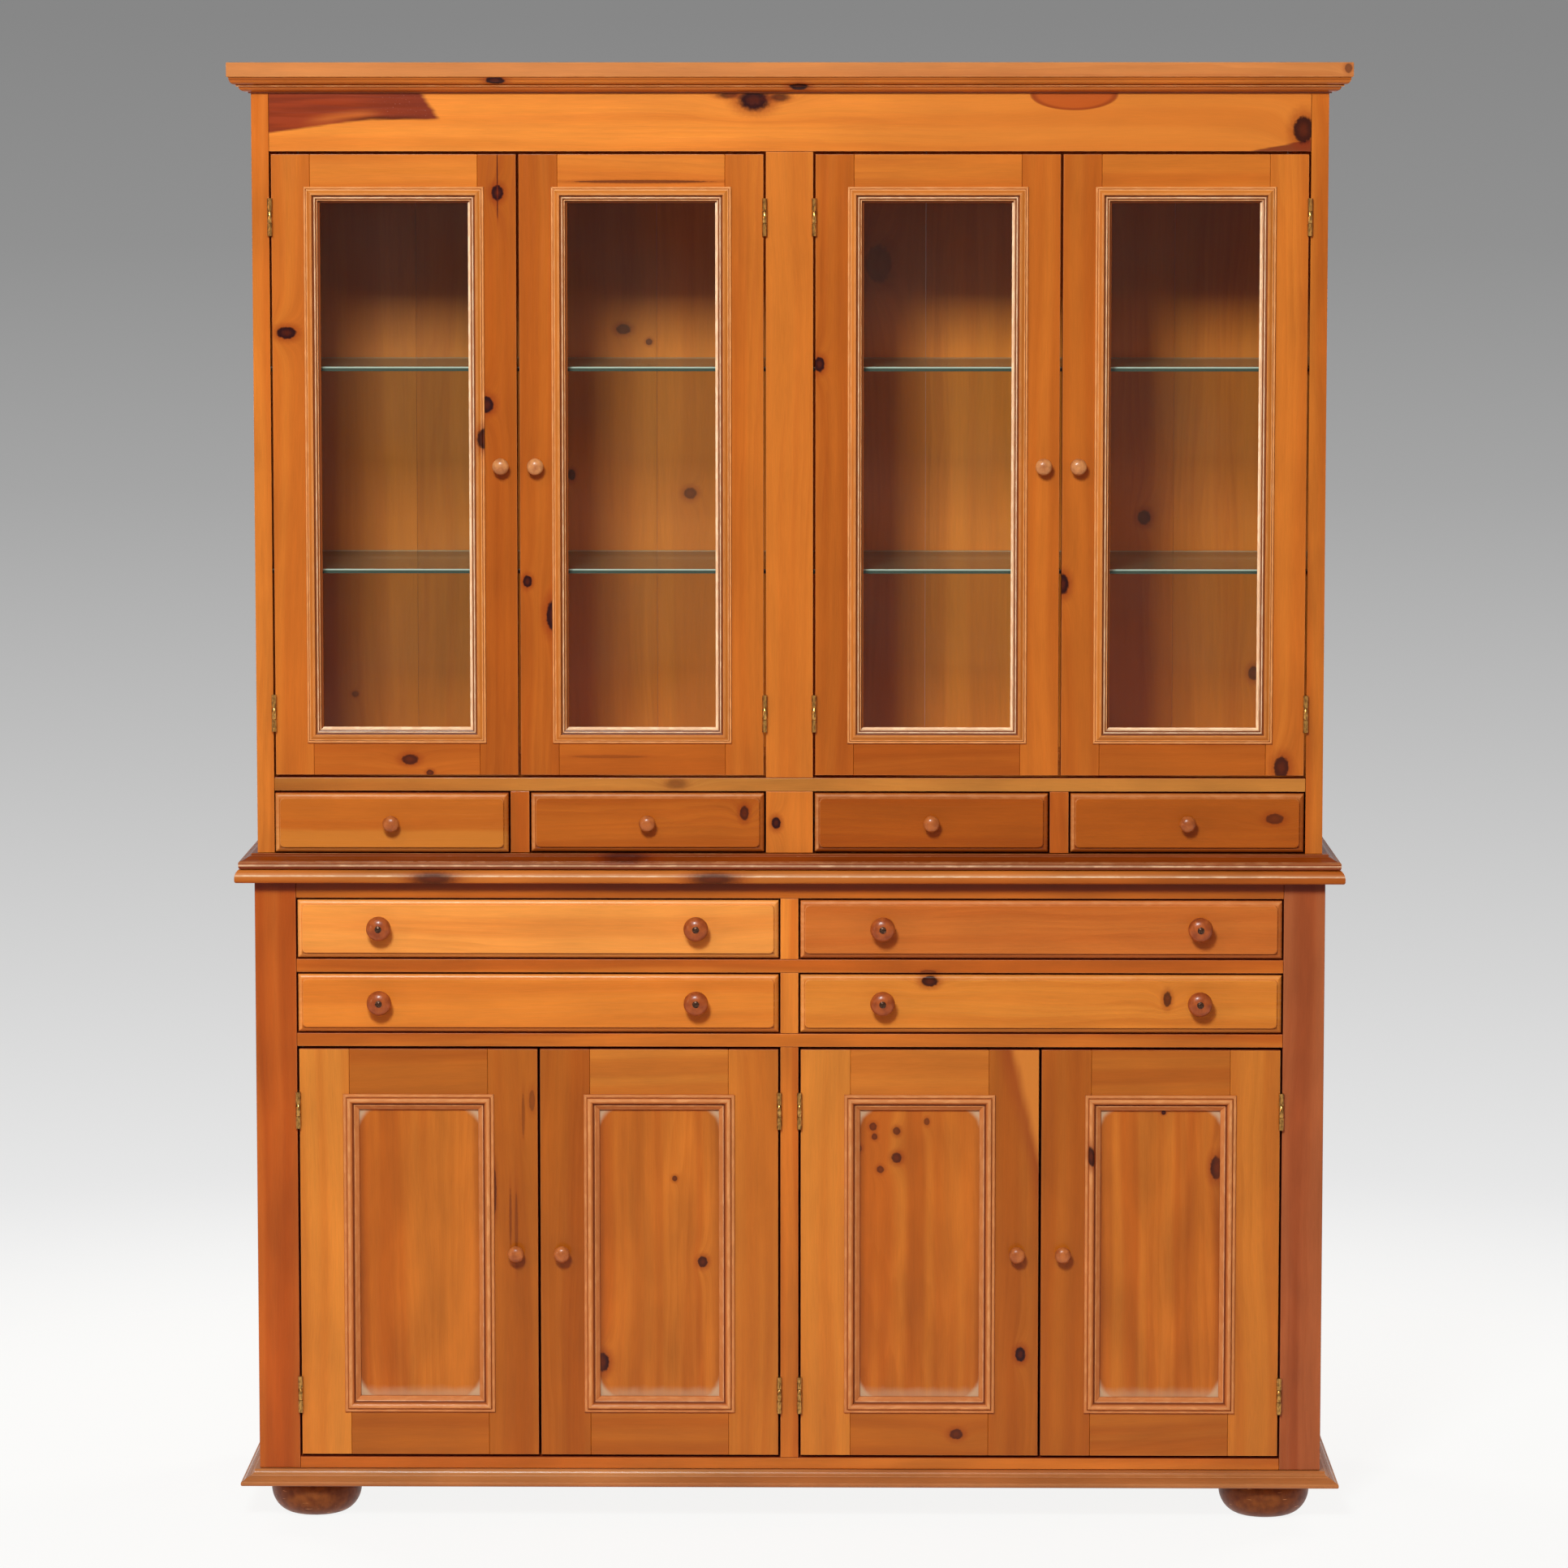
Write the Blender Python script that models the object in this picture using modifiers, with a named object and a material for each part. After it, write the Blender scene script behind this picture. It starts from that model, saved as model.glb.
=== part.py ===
"""Two-part pine china cabinet: a glazed hutch with drawers, standing on a buffet on bun feet.

Metres, +Z up. The front faces -Y and the origin is on the floor, at the middle of the box round
the whole cabinet. Depths are counted from the front face of the face frames: positive is behind it.
"""
import math

import bmesh
import bpy
from mathutils import Matrix, Vector

# Clearance between pieces that touch, and how far joined shapes reach into each other
FIT = 0.0003
LAP = 0.002

# Widths and depths of the two carcasses
HUTCH_WIDTH = 1.440
BUFFET_WIDTH = 1.450
HUTCH_DEPTH = 0.440
BUFFET_DEPTH = 0.460

# Heights, from the floor up
FOOT_HEIGHT = 0.050
BASE_HEIGHT = 0.021
BOTTOM_RAIL = 0.016
BUFFET_DOOR_OPENING = 0.567
BUFFET_RAIL = 0.0185
BUFFET_DRAWER_OPENING = 0.083
BUFFET_TOP_RAIL = 0.0225
BUFFET_TOP = 0.019
HUTCH_BASE = 0.0205
HUTCH_DRAWER_OPENING = 0.084
HUTCH_RAIL = 0.0185
HUTCH_DOOR_OPENING = 0.8415
FRIEZE = 0.098
CORNICE_BOARD = 0.020

# Board thicknesses
FRAME_BOARD = 0.020
HUTCH_SIDE = 0.023
BUFFET_SIDE = 0.022
PARTITION = 0.018
HUTCH_FLOOR = 0.018
BACK_PANEL = 0.008

# Widths of the uprights in the face frames
HUTCH_CENTRE_STILE = 0.064
HUTCH_DRAWER_STILE = 0.026
BUFFET_CORNER_STILE = 0.056
BUFFET_CENTRE_STILE = 0.025

# How far the mouldings stand out from the carcass
CORNICE_REACH = 0.030
CORNICE_EASING = 0.002
COVE_REACH = 0.028
COVE_HEIGHT = 0.025
COVE_TOE = 0.002
HUTCH_BASE_REACH = 0.0245
HUTCH_BASE_FILLET = 0.003
BUFFET_TOP_REACH = 0.025
BUFFET_TOP_ROUND = 0.009
BASE_REACH = 0.024
BASE_FILLET = 0.005

# Doors
DOOR_BOARD = 0.020
HINGE_GAP = 0.0025
MEETING_GAP = 0.003
DOOR_CLEARANCE = 0.0033
HUTCH_DOOR_STILE = 0.052
BUFFET_DOOR_STILE = 0.068
MOULDING_WIDTH = 0.019
MOULDING_LAP = 0.006
MOULDING_PROUD = 0.008
PANE_SEAT = 0.006
PANE_CLEARANCE = 0.001
PANE = 0.004
PANEL = 0.008

# Butt hinges: a pin with three knuckles, clear of the face, and two leaves in the gap
HINGE_HEIGHT = 0.050
HINGE_INSET = 0.059
BARREL_RADIUS = 0.0036
PIN_RADIUS = 0.0018
PIN_CLEARANCE = 0.0003
LEAF_DEPTH = 0.016
HINGE_SIDES = 12

# Drawers
DRAWER_GAP = 0.0015
DRAWER_FRONT = 0.020
DRAWER_PROUD = 0.006
DRAWER_BEVEL = 0.009
DRAWER_EDGE = 0.002
DRAWER_WALL = 0.012
DRAWER_BOTTOM = 0.008
TRAY_INSET = 0.001
TRAY_HEADROOM = 0.008
TRAY_BACK_SPACE = 0.030
RUNNER_UNDER_TRAY = 0.030
AJAR = 0.008

# Turned pieces
SMALL_KNOB_RADIUS = 0.012
SMALL_KNOB_LENGTH = 0.022
BIG_KNOB_RADIUS = 0.0185
BIG_KNOB_LENGTH = 0.030
BIG_KNOB_SPREAD = 0.2145
KNOB_SIDES = 14
FOOT_RADIUS = 0.062
FOOT_TOP_RADIUS = 0.058
FOOT_PAD_RADIUS = 0.030
FOOT_BELLY = 0.036
FOOT_SIDE_INSET = 0.073
FOOT_FRONT_INSET = 0.058
FOOT_BACK_INSET = 0.070
FOOT_SIDES = 20

# Glass shelves on pegs
SHELF = 0.006
SHELF_HEIGHTS = {"lower": 0.274, "upper": 0.547}
SHELF_FRONT = 0.035
SHELF_BACK_SPACE = 0.006
SHELF_END_SPACE = 0.0006
PEG_RADIUS = 0.003
PEG_REACH = 0.012
PEG_END_INSET = 0.060
PEG_SIDES = 8

# Levels worked out from the heights
CARCASS_Z = FOOT_HEIGHT + BASE_HEIGHT
BUFFET_DOOR_Z = CARCASS_Z + BOTTOM_RAIL
LOWER_RAIL_Z = BUFFET_DOOR_Z + BUFFET_DOOR_OPENING
LOWER_DRAWER_Z = LOWER_RAIL_Z + BUFFET_RAIL
MIDDLE_RAIL_Z = LOWER_DRAWER_Z + BUFFET_DRAWER_OPENING
UPPER_DRAWER_Z = MIDDLE_RAIL_Z + BUFFET_RAIL
TOP_RAIL_Z = UPPER_DRAWER_Z + BUFFET_DRAWER_OPENING
BUFFET_TOP_Z = TOP_RAIL_Z + BUFFET_TOP_RAIL
HUTCH_BASE_Z = BUFFET_TOP_Z + BUFFET_TOP
HUTCH_DRAWER_Z = HUTCH_BASE_Z + HUTCH_BASE
HUTCH_RAIL_Z = HUTCH_DRAWER_Z + HUTCH_DRAWER_OPENING
HUTCH_DOOR_Z = HUTCH_RAIL_Z + HUTCH_RAIL
FRIEZE_Z = HUTCH_DOOR_Z + HUTCH_DOOR_OPENING
CORNICE_Z = FRIEZE_Z + FRIEZE
TOP_Z = CORNICE_Z + CORNICE_BOARD

# Half widths and the span of the openings on the right of the middle
HUTCH_HALF = HUTCH_WIDTH / 2
BUFFET_HALF = BUFFET_WIDTH / 2
PARTITION_HALF = PARTITION / 2
HUTCH_INSIDE = HUTCH_HALF - HUTCH_SIDE
BUFFET_INSIDE = BUFFET_HALF - BUFFET_SIDE
HUTCH_BAY = (HUTCH_CENTRE_STILE / 2, HUTCH_INSIDE)
BUFFET_BAY = (BUFFET_CENTRE_STILE / 2, BUFFET_HALF - BUFFET_CORNER_STILE)
HUTCH_DRAWER_MIDDLE = sum(HUTCH_BAY) / 2

# Depth of the box round the cabinet, which puts the face frames' front face in the frame
BIG_KNOB_REACH = DRAWER_PROUD + BIG_KNOB_LENGTH
AJAR_KNOB_REACH = DRAWER_PROUD + SMALL_KNOB_LENGTH + AJAR
FRONT_REACH = max(BIG_KNOB_REACH, AJAR_KNOB_REACH, CORNICE_REACH, BUFFET_TOP_REACH, BASE_REACH)
FACE_Y = (FRONT_REACH - max(HUTCH_DEPTH, BUFFET_DEPTH)) / 2
BEHIND_FRAME = FACE_Y + FRAME_BOARD + FIT
HUTCH_BACK_Y = FACE_Y + HUTCH_DEPTH
BUFFET_BACK_Y = FACE_Y + BUFFET_DEPTH
HUTCH_PANEL_Y = HUTCH_BACK_Y - BACK_PANEL
BUFFET_PANEL_Y = BUFFET_BACK_Y - BACK_PANEL

# A hinge pin stands clear of the face, so a door's front face lies behind its axis
SETBACK = BARREL_RADIUS + FIT

# Finishes: colour, roughness, metallic value and how much light passes through
PINE = ((0.46, 0.17, 0.045), 0.35, 0.0, 0.0)
PALE_PINE = ((0.55, 0.23, 0.065), 0.35, 0.0, 0.0)
GLASS = ((0.85, 0.93, 0.90), 0.05, 0.0, 1.0)
BRASS = ((0.55, 0.38, 0.14), 0.35, 1.0, 0.0)

SIDES = {"left": -1, "right": 1}


def new_collection(name):
    collection = bpy.data.collections.new(name)
    bpy.context.scene.collection.children.link(collection)
    return collection


for old in list(bpy.data.objects):
    bpy.data.objects.remove(old, do_unlink=True)
CABINET = new_collection("china_cabinet")
HELPERS = new_collection("joined_shapes")


def finish(name, values):
    colour, roughness, metallic, transmission = values
    material = bpy.data.materials.new(name + "_finish")
    material.use_nodes = True
    shader = material.node_tree.nodes["Principled BSDF"]
    shader.inputs["Base Color"].default_value = (*colour, 1.0)
    shader.inputs["Roughness"].default_value = roughness
    shader.inputs["Metallic"].default_value = metallic
    shader.inputs["Transmission Weight"].default_value = transmission
    return material


def pivot(name, location):
    """An empty on a joint's axis, which carries the pieces on one side of that joint."""
    empty = bpy.data.objects.new(name, None)
    empty.location = location
    CABINET.objects.link(empty)
    return empty


def from_shape(name, shape, parent=None):
    """Turns a finished bmesh into an object among the helper shapes."""
    mesh = bpy.data.meshes.new(name)
    shape.to_mesh(mesh)
    shape.free()
    piece = bpy.data.objects.new(name, mesh)
    piece.parent = parent
    piece.hide_render = True
    piece.display_type = "WIRE"
    HELPERS.objects.link(piece)
    return piece


def keep(piece, values):
    """Moves a shape from the helpers into the cabinet and gives it its finish."""
    HELPERS.objects.unlink(piece)
    CABINET.objects.link(piece)
    piece.hide_render = False
    piece.display_type = "TEXTURED"
    piece.data.materials.append(finish(piece.name, values))
    return piece


def combine(target, others, operation="UNION"):
    for other in others:
        modifier = target.modifiers.new(operation.lower() + " " + other.name, "BOOLEAN")
        modifier.operation = operation
        modifier.solver = "EXACT"
        modifier.object = other
    return target


def block(name, x, y, z, parent=None):
    """A board between two limits along each axis."""
    limits = [sorted(limit) for limit in (x, y, z)]
    middle = Vector([(low + high) / 2 for low, high in limits])
    size = Vector([high - low for low, high in limits])
    shape = bmesh.new()
    placed = Matrix.Translation(middle) @ Matrix.Diagonal((*size, 1.0))
    bmesh.ops.create_cube(shape, size=1.0, matrix=placed)
    return from_shape(name, shape, parent)


def rod(name, middle, radius, length, axis, sides, parent=None):
    """A round bar about a point, along X or Z."""
    turn = Matrix.Rotation(math.pi / 2, 4, "Y") if axis == "X" else Matrix.Identity(4)
    shape = bmesh.new()
    bmesh.ops.create_cone(shape, cap_ends=True, segments=sides, radius1=radius, radius2=radius,
                          depth=length, matrix=Matrix.Translation(middle) @ turn)
    return from_shape(name, shape, parent)


def level(half, front, back, z):
    """A level rectangle about X = 0, seen from above."""
    return [(-half, front, z), (half, front, z), (half, back, z), (-half, back, z)]


def upright(x, z, inset, y):
    """An upright rectangle in the plane Y = y, drawn in from the given limits."""
    left, right = min(x) + inset, max(x) - inset
    bottom, top = min(z) + inset, max(z) - inset
    return [(left, y, bottom), (right, y, bottom), (right, y, top), (left, y, top)]


def loft(name, loops, parent=None, ring=False):
    """A solid skinned over loops of equal length, capped at its ends or closed into a ring."""
    shape = bmesh.new()
    rows = [[shape.verts.new(point) for point in loop] for loop in loops]
    pairs = list(zip(rows, rows[1:]))
    if ring:
        pairs.append((rows[-1], rows[0]))
    else:
        shape.faces.new(rows[0])
        shape.faces.new(rows[-1])
    for near, far in pairs:
        for i in range(len(near)):
            j = (i + 1) % len(near)
            shape.faces.new((near[i], near[j], far[j], far[i]))
    bmesh.ops.recalc_face_normals(shape, faces=shape.faces)
    return from_shape(name, shape, parent)


def sheet(name, columns, rows, holes, place, thickness, parent=None):
    """A flat board made of a grid of cells without its holes, thickened along a vector."""
    shape = bmesh.new()
    grid = {}

    def corner(i, j):
        if (i, j) not in grid:
            grid[i, j] = shape.verts.new(place(columns[i], rows[j]))
        return grid[i, j]

    for i in range(len(columns) - 1):
        for j in range(len(rows) - 1):
            if (i, j) not in holes:
                shape.faces.new((corner(i, j), corner(i + 1, j), corner(i + 1, j + 1), corner(i, j + 1)))
    grown = bmesh.ops.extrude_face_region(shape, geom=shape.faces[:])
    moved = [item for item in grown["geom"] if isinstance(item, bmesh.types.BMVert)]
    bmesh.ops.translate(shape, verts=moved, vec=thickness)
    bmesh.ops.recalc_face_normals(shape, faces=shape.faces)
    return from_shape(name, shape, parent)


def turned(name, profile, sides, parent=None):
    """A turned piece about Z. The profile lists radius and height from the top down."""
    shape = bmesh.new()
    points = [shape.verts.new((radius, 0.0, height)) for radius, height in profile]
    for upper, lower in zip(points, points[1:]):
        shape.edges.new((upper, lower))
    piece = from_shape(name, shape, parent)
    screw = piece.modifiers.new("turning", "SCREW")
    screw.axis = "Z"
    screw.steps = sides
    screw.render_steps = sides
    screw.use_merge_vertices = True
    screw.merge_threshold = 0.00001
    return piece


def arc(start, end, count):
    """Angles in radians from start to end, both given in degrees."""
    return [math.radians(start + (end - start) * i / (count - 1)) for i in range(count)]


def knob(name, radius, length, location, parent):
    """A mushroom knob on a short neck, pointing to the front from the given point on a face."""
    head = radius * 0.62
    neck = radius * 0.5
    flare = radius * 0.62
    crown = length - head / 2
    cap = [(radius * math.cos(a), crown + head / 2 * math.sin(a)) for a in arc(90, -60, 6)]
    stem = [(neck, (crown - head / 2) / 2), (flare, 0.0), (flare, -LAP), (0.0, -LAP)]
    piece = turned(name, cap + stem, KNOB_SIDES, parent)
    piece.location = location
    piece.rotation_euler = (math.pi / 2, 0.0, 0.0)
    return piece


def u_moulding(name, half, back, profile):
    """A mitred moulding round the left side, the front and the right side of a carcass.

    The profile lists how far each point stands out from the carcass, and its height.
    """
    def section(x_sign, y_from_front):
        return [(x_sign * (half + out), back if y_from_front is None else FACE_Y - out, z)
                for out, z in profile]

    return loft(name, [section(-1, None), section(-1, 0), section(1, 0), section(1, None)])


def moulded_board(name, half, back, profile):
    """A board whose left, front and right edges are shaped; the profile runs from bottom to top."""
    return loft(name, [level(half + out, FACE_Y - out, back, z) for out, z in profile])


# Hutch carcass


def shelf_pegs(name, middle_x, length):
    """Pegs under both glass shelves, near the front and the back of a carcass board."""
    pegs = []
    for shelf, height in SHELF_HEIGHTS.items():
        z = HUTCH_DOOR_Z + height - PEG_RADIUS - FIT
        ends = (FACE_Y + SHELF_FRONT + PEG_END_INSET, HUTCH_PANEL_Y - PEG_END_INSET)
        for end, y in zip(("front", "back"), ends):
            pegs.append(rod(f"{name}_{shelf}_{end}_peg", Vector((middle_x, y, z)),
                            PEG_RADIUS, length, "X", PEG_SIDES))
    return pegs


def hutch_sides():
    for side, sign in SIDES.items():
        board = block(f"hutch_{side}_side", (sign * HUTCH_INSIDE, sign * HUTCH_HALF),
                      (FACE_Y, HUTCH_BACK_Y), (HUTCH_DRAWER_Z + FIT, CORNICE_Z))
        middle = sign * (HUTCH_INSIDE - (PEG_REACH - LAP) / 2)
        keep(combine(board, shelf_pegs(f"hutch_{side}", middle, PEG_REACH + LAP)), PINE)


def hutch_partition():
    board = block("hutch_partition", (-PARTITION_HALF, PARTITION_HALF),
                  (BEHIND_FRAME, HUTCH_PANEL_Y - FIT), (HUTCH_DOOR_Z + FIT, CORNICE_Z))
    keep(combine(board, shelf_pegs("hutch_partition", 0.0, PARTITION + 2 * PEG_REACH)), PINE)


def hutch_boards():
    inside = HUTCH_INSIDE - FIT
    keep(block("hutch_back", (-inside, inside), (HUTCH_PANEL_Y, HUTCH_BACK_Y),
               (HUTCH_DRAWER_Z + FIT, CORNICE_Z)), PALE_PINE)
    floor = block("hutch_floor", (-inside, inside), (BEHIND_FRAME, HUTCH_PANEL_Y - FIT),
                  (HUTCH_DOOR_Z - HUTCH_FLOOR, HUTCH_DOOR_Z))
    guides = []
    for number, x in enumerate((-HUTCH_DRAWER_MIDDLE, 0.0, HUTCH_DRAWER_MIDDLE), start=1):
        guides.append(block(f"drawer_guide_{number}", (x - PARTITION_HALF, x + PARTITION_HALF),
                            (BEHIND_FRAME, HUTCH_PANEL_Y - FIT),
                            (HUTCH_DRAWER_Z + FIT, HUTCH_DOOR_Z - HUTCH_FLOOR + LAP)))
    keep(combine(floor, guides), PINE)


def hutch_face_frame():
    near, far = HUTCH_BAY
    half_stile = HUTCH_DRAWER_STILE / 2
    columns_right = (near, HUTCH_DRAWER_MIDDLE - half_stile, HUTCH_DRAWER_MIDDLE + half_stile, far - FIT)
    columns = [-x for x in reversed(columns_right)] + list(columns_right)
    rows = (HUTCH_DRAWER_Z + FIT, HUTCH_RAIL_Z, HUTCH_DOOR_Z, FRIEZE_Z, CORNICE_Z)
    drawer_holes = {(column, 0) for column in (0, 2, 4, 6)}
    door_holes = {(column, 2) for column in (0, 1, 2, 4, 5, 6)}
    frame = sheet("hutch_face_frame", columns, rows, drawer_holes | door_holes,
                  lambda x, z: (x, FACE_Y, z), Vector((0.0, FRAME_BOARD, 0.0)))
    keep(frame, PINE)


def hutch_base():
    bottom, top = HUTCH_BASE_Z + FIT, HUTCH_DRAWER_Z
    nose = (top - bottom) * 0.55
    fillet = HUTCH_BASE_REACH * 0.33
    profile = [(HUTCH_BASE_REACH * 0.88, bottom), (HUTCH_BASE_REACH, bottom + nose * 0.35),
               (HUTCH_BASE_REACH, bottom + nose * 0.65), (HUTCH_BASE_REACH * 0.87, bottom + nose),
               (fillet + HUTCH_BASE_REACH * 0.22, top - HUTCH_BASE_FILLET * 1.6),
               (fillet, top - HUTCH_BASE_FILLET), (fillet, top)]
    keep(moulded_board("hutch_base", HUTCH_HALF, HUTCH_BACK_Y, profile), PINE)


def cornice():
    """The flat top board with the two-step cove moulding under its edge."""
    bottom = CORNICE_Z + FIT
    eased = CORNICE_REACH - CORNICE_EASING
    board = moulded_board("cornice", HUTCH_HALF, HUTCH_BACK_Y,
                          [(eased, bottom), (CORNICE_REACH, bottom + CORNICE_EASING),
                           (CORNICE_REACH, TOP_Z - CORNICE_EASING), (eased, TOP_Z)])
    half_drop = COVE_HEIGHT / 2
    toe = CORNICE_Z - COVE_HEIGHT
    middle = CORNICE_Z - half_drop
    step = COVE_REACH * 0.62
    inner = COVE_REACH * 0.44
    hollow = half_drop * 0.12
    profile = [(FIT, toe), (COVE_TOE, toe), (COVE_TOE + hollow, toe + half_drop * 0.2),
               ((COVE_TOE + inner) / 2 + hollow, (toe + middle) / 2 + hollow), (inner, middle - hollow),
               (step, middle), (step + hollow, middle + half_drop * 0.2),
               ((step + COVE_REACH) / 2 - hollow, CORNICE_Z - half_drop * 0.42),
               (COVE_REACH - hollow, CORNICE_Z - half_drop * 0.12), (COVE_REACH - hollow, bottom + LAP),
               (FIT, bottom + LAP)]
    moulding = u_moulding("cove_moulding", HUTCH_HALF, HUTCH_BACK_Y, profile)
    keep(combine(board, [moulding]), PALE_PINE)


def glass_shelves():
    near, far = PARTITION_HALF + SHELF_END_SPACE, HUTCH_INSIDE - SHELF_END_SPACE
    for side, sign in SIDES.items():
        for shelf, height in SHELF_HEIGHTS.items():
            z = HUTCH_DOOR_Z + height
            keep(block(f"glass_shelf_{side}_{shelf}", (sign * near, sign * far),
                       (FACE_Y + SHELF_FRONT, HUTCH_PANEL_Y - SHELF_BACK_SPACE), (z, z + SHELF)), GLASS)


# Buffet carcass


def runners(name, near, far):
    """Ledges under the two rows of drawers, between two limits across the cabinet."""
    made = []
    for row, z in (("lower", LOWER_DRAWER_Z), ("upper", UPPER_DRAWER_Z)):
        made.append(block(f"{name}_{row}_runner", (near, far), (BEHIND_FRAME, BUFFET_PANEL_Y - FIT),
                          (z - BUFFET_RAIL, z + FIT)))
    return made


def buffet_sides():
    tray_edge = BUFFET_BAY[1] - DRAWER_GAP - TRAY_INSET
    ledge_edge = tray_edge - RUNNER_UNDER_TRAY
    for side, sign in SIDES.items():
        board = block(f"buffet_{side}_side", (sign * BUFFET_INSIDE, sign * BUFFET_HALF),
                      (BEHIND_FRAME, BUFFET_BACK_Y), (CARCASS_Z + FIT, BUFFET_TOP_Z))
        ledges = runners(f"buffet_{side}", sign * ledge_edge, sign * (BUFFET_INSIDE + LAP))
        keep(combine(board, ledges), PINE)


def buffet_partition():
    board = block("buffet_partition", (-PARTITION_HALF, PARTITION_HALF),
                  (BEHIND_FRAME, BUFFET_PANEL_Y - FIT), (BUFFET_DOOR_Z + FIT, BUFFET_TOP_Z))
    tray_edge = BUFFET_BAY[0] + DRAWER_GAP + TRAY_INSET
    reach = tray_edge + RUNNER_UNDER_TRAY
    keep(combine(board, runners("buffet_partition", -reach, reach)), PINE)


def buffet_boards():
    inside = BUFFET_INSIDE - FIT
    keep(block("buffet_back", (-inside, inside), (BUFFET_PANEL_Y, BUFFET_BACK_Y),
               (CARCASS_Z + FIT, BUFFET_TOP_Z)), PINE)
    keep(block("buffet_floor", (-inside, inside), (BEHIND_FRAME, BUFFET_PANEL_Y - FIT),
               (CARCASS_Z + FIT, BUFFET_DOOR_Z)), PINE)


def buffet_face_frame():
    near, far = BUFFET_BAY
    columns = (-BUFFET_HALF, -far, -near, near, far, BUFFET_HALF)
    rows = (CARCASS_Z + FIT, BUFFET_DOOR_Z, LOWER_RAIL_Z, LOWER_DRAWER_Z, MIDDLE_RAIL_Z,
            UPPER_DRAWER_Z, TOP_RAIL_Z, BUFFET_TOP_Z)
    holes = {(column, row) for column in (1, 3) for row in (1, 3, 5)}
    frame = sheet("buffet_face_frame", columns, rows, holes,
                  lambda x, z: (x, FACE_Y, z), Vector((0.0, FRAME_BOARD, 0.0)))
    keep(frame, PINE)


def buffet_top():
    bottom, top = BUFFET_TOP_Z + FIT, HUTCH_BASE_Z
    round_x = BUFFET_TOP_REACH - BUFFET_TOP_ROUND
    round_z = top - BUFFET_TOP_ROUND
    nose = [(round_x + BUFFET_TOP_ROUND * math.cos(a), round_z + BUFFET_TOP_ROUND * math.sin(a))
            for a in arc(0, 90, 5)]
    under = BUFFET_TOP_ROUND * 0.3
    profile = [(BUFFET_TOP_REACH - under, bottom), (BUFFET_TOP_REACH, bottom + under)] + nose
    keep(moulded_board("buffet_top", BUFFET_HALF, BUFFET_BACK_Y, profile), PALE_PINE)


def base_board():
    bottom, top = FOOT_HEIGHT + FIT, CARCASS_Z
    nose = BASE_HEIGHT * 0.2
    fillet = BASE_REACH * 0.25
    profile = [(BASE_REACH * 0.92, bottom), (BASE_REACH, bottom + nose * 0.5), (BASE_REACH, bottom + nose),
               (fillet + BASE_REACH * 0.1, top - BASE_FILLET), (fillet, top - BASE_FILLET), (fillet, top)]
    keep(moulded_board("base_board", BUFFET_HALF, BUFFET_BACK_Y, profile), PINE)


def bun_feet():
    """Flattened turned feet: a bowl below the belly and a short shoulder above it."""
    shoulder = FOOT_HEIGHT - FOOT_BELLY
    profile = [(0.0, FOOT_HEIGHT), (FOOT_TOP_RADIUS, FOOT_HEIGHT),
               (FOOT_RADIUS - (FOOT_RADIUS - FOOT_TOP_RADIUS) / 4, FOOT_BELLY + shoulder / 2)]
    bowl = FOOT_RADIUS - FOOT_PAD_RADIUS
    profile += [(FOOT_PAD_RADIUS + bowl * math.cos(a), FOOT_BELLY - FOOT_BELLY * math.sin(a))
                for a in arc(0, 90, 6)]
    profile.append((0.0, 0.0))
    ends = {"front": FACE_Y + FOOT_FRONT_INSET, "back": BUFFET_BACK_Y - FOOT_BACK_INSET}
    for side, sign in SIDES.items():
        for end, y in ends.items():
            foot = turned(f"bun_foot_{end}_{side}", profile, FOOT_SIDES)
            foot.location = (sign * (BUFFET_HALF - FOOT_SIDE_INSET), y, 0.0)
            keep(foot, PINE)


# Doors and hinges


def moulding_loops(x, z, stile):
    """The front of a door from its edge to the inner lip of the applied moulding."""
    outer = stile - MOULDING_LAP
    lip = outer + MOULDING_WIDTH
    crest = MOULDING_PROUD
    steps = [(0.0, 0.0), (outer, 0.0), (outer, -crest * 0.45),
             (outer + MOULDING_WIDTH * 0.16, -crest * 0.85), (outer + MOULDING_WIDTH * 0.42, -crest),
             (outer + MOULDING_WIDTH * 0.74, -crest * 0.7), (lip - MOULDING_WIDTH * 0.1, -crest * 0.25),
             (lip, 0.0), (lip, PANE_SEAT)]
    return [upright(x, z, inset, SETBACK + depth) for inset, depth in steps]


def glazed_frame(name, x, z, stile, parent):
    back = [upright(x, z, stile, SETBACK + depth) for depth in (PANE_SEAT, DOOR_BOARD)]
    back.append(upright(x, z, 0.0, SETBACK + DOOR_BOARD))
    return loft(name, moulding_loops(x, z, stile) + back, parent, ring=True)


def panelled_frame(name, x, z, stile, parent):
    """A frame with its moulding and the flat panel that it holds, closed behind."""
    back = [upright(x, z, 0.0, SETBACK + DOOR_BOARD), upright(x, z, stile, SETBACK + DOOR_BOARD),
            upright(x, z, stile, SETBACK + PANE_SEAT + PANEL)]
    return loft(name, list(reversed(back)) + moulding_loops(x, z, stile), parent)


def hinge_levels(height):
    """Lower ends of the two hinges on a door."""
    return {"lower": HINGE_INSET, "upper": height - HINGE_INSET - HINGE_HEIGHT}


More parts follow.
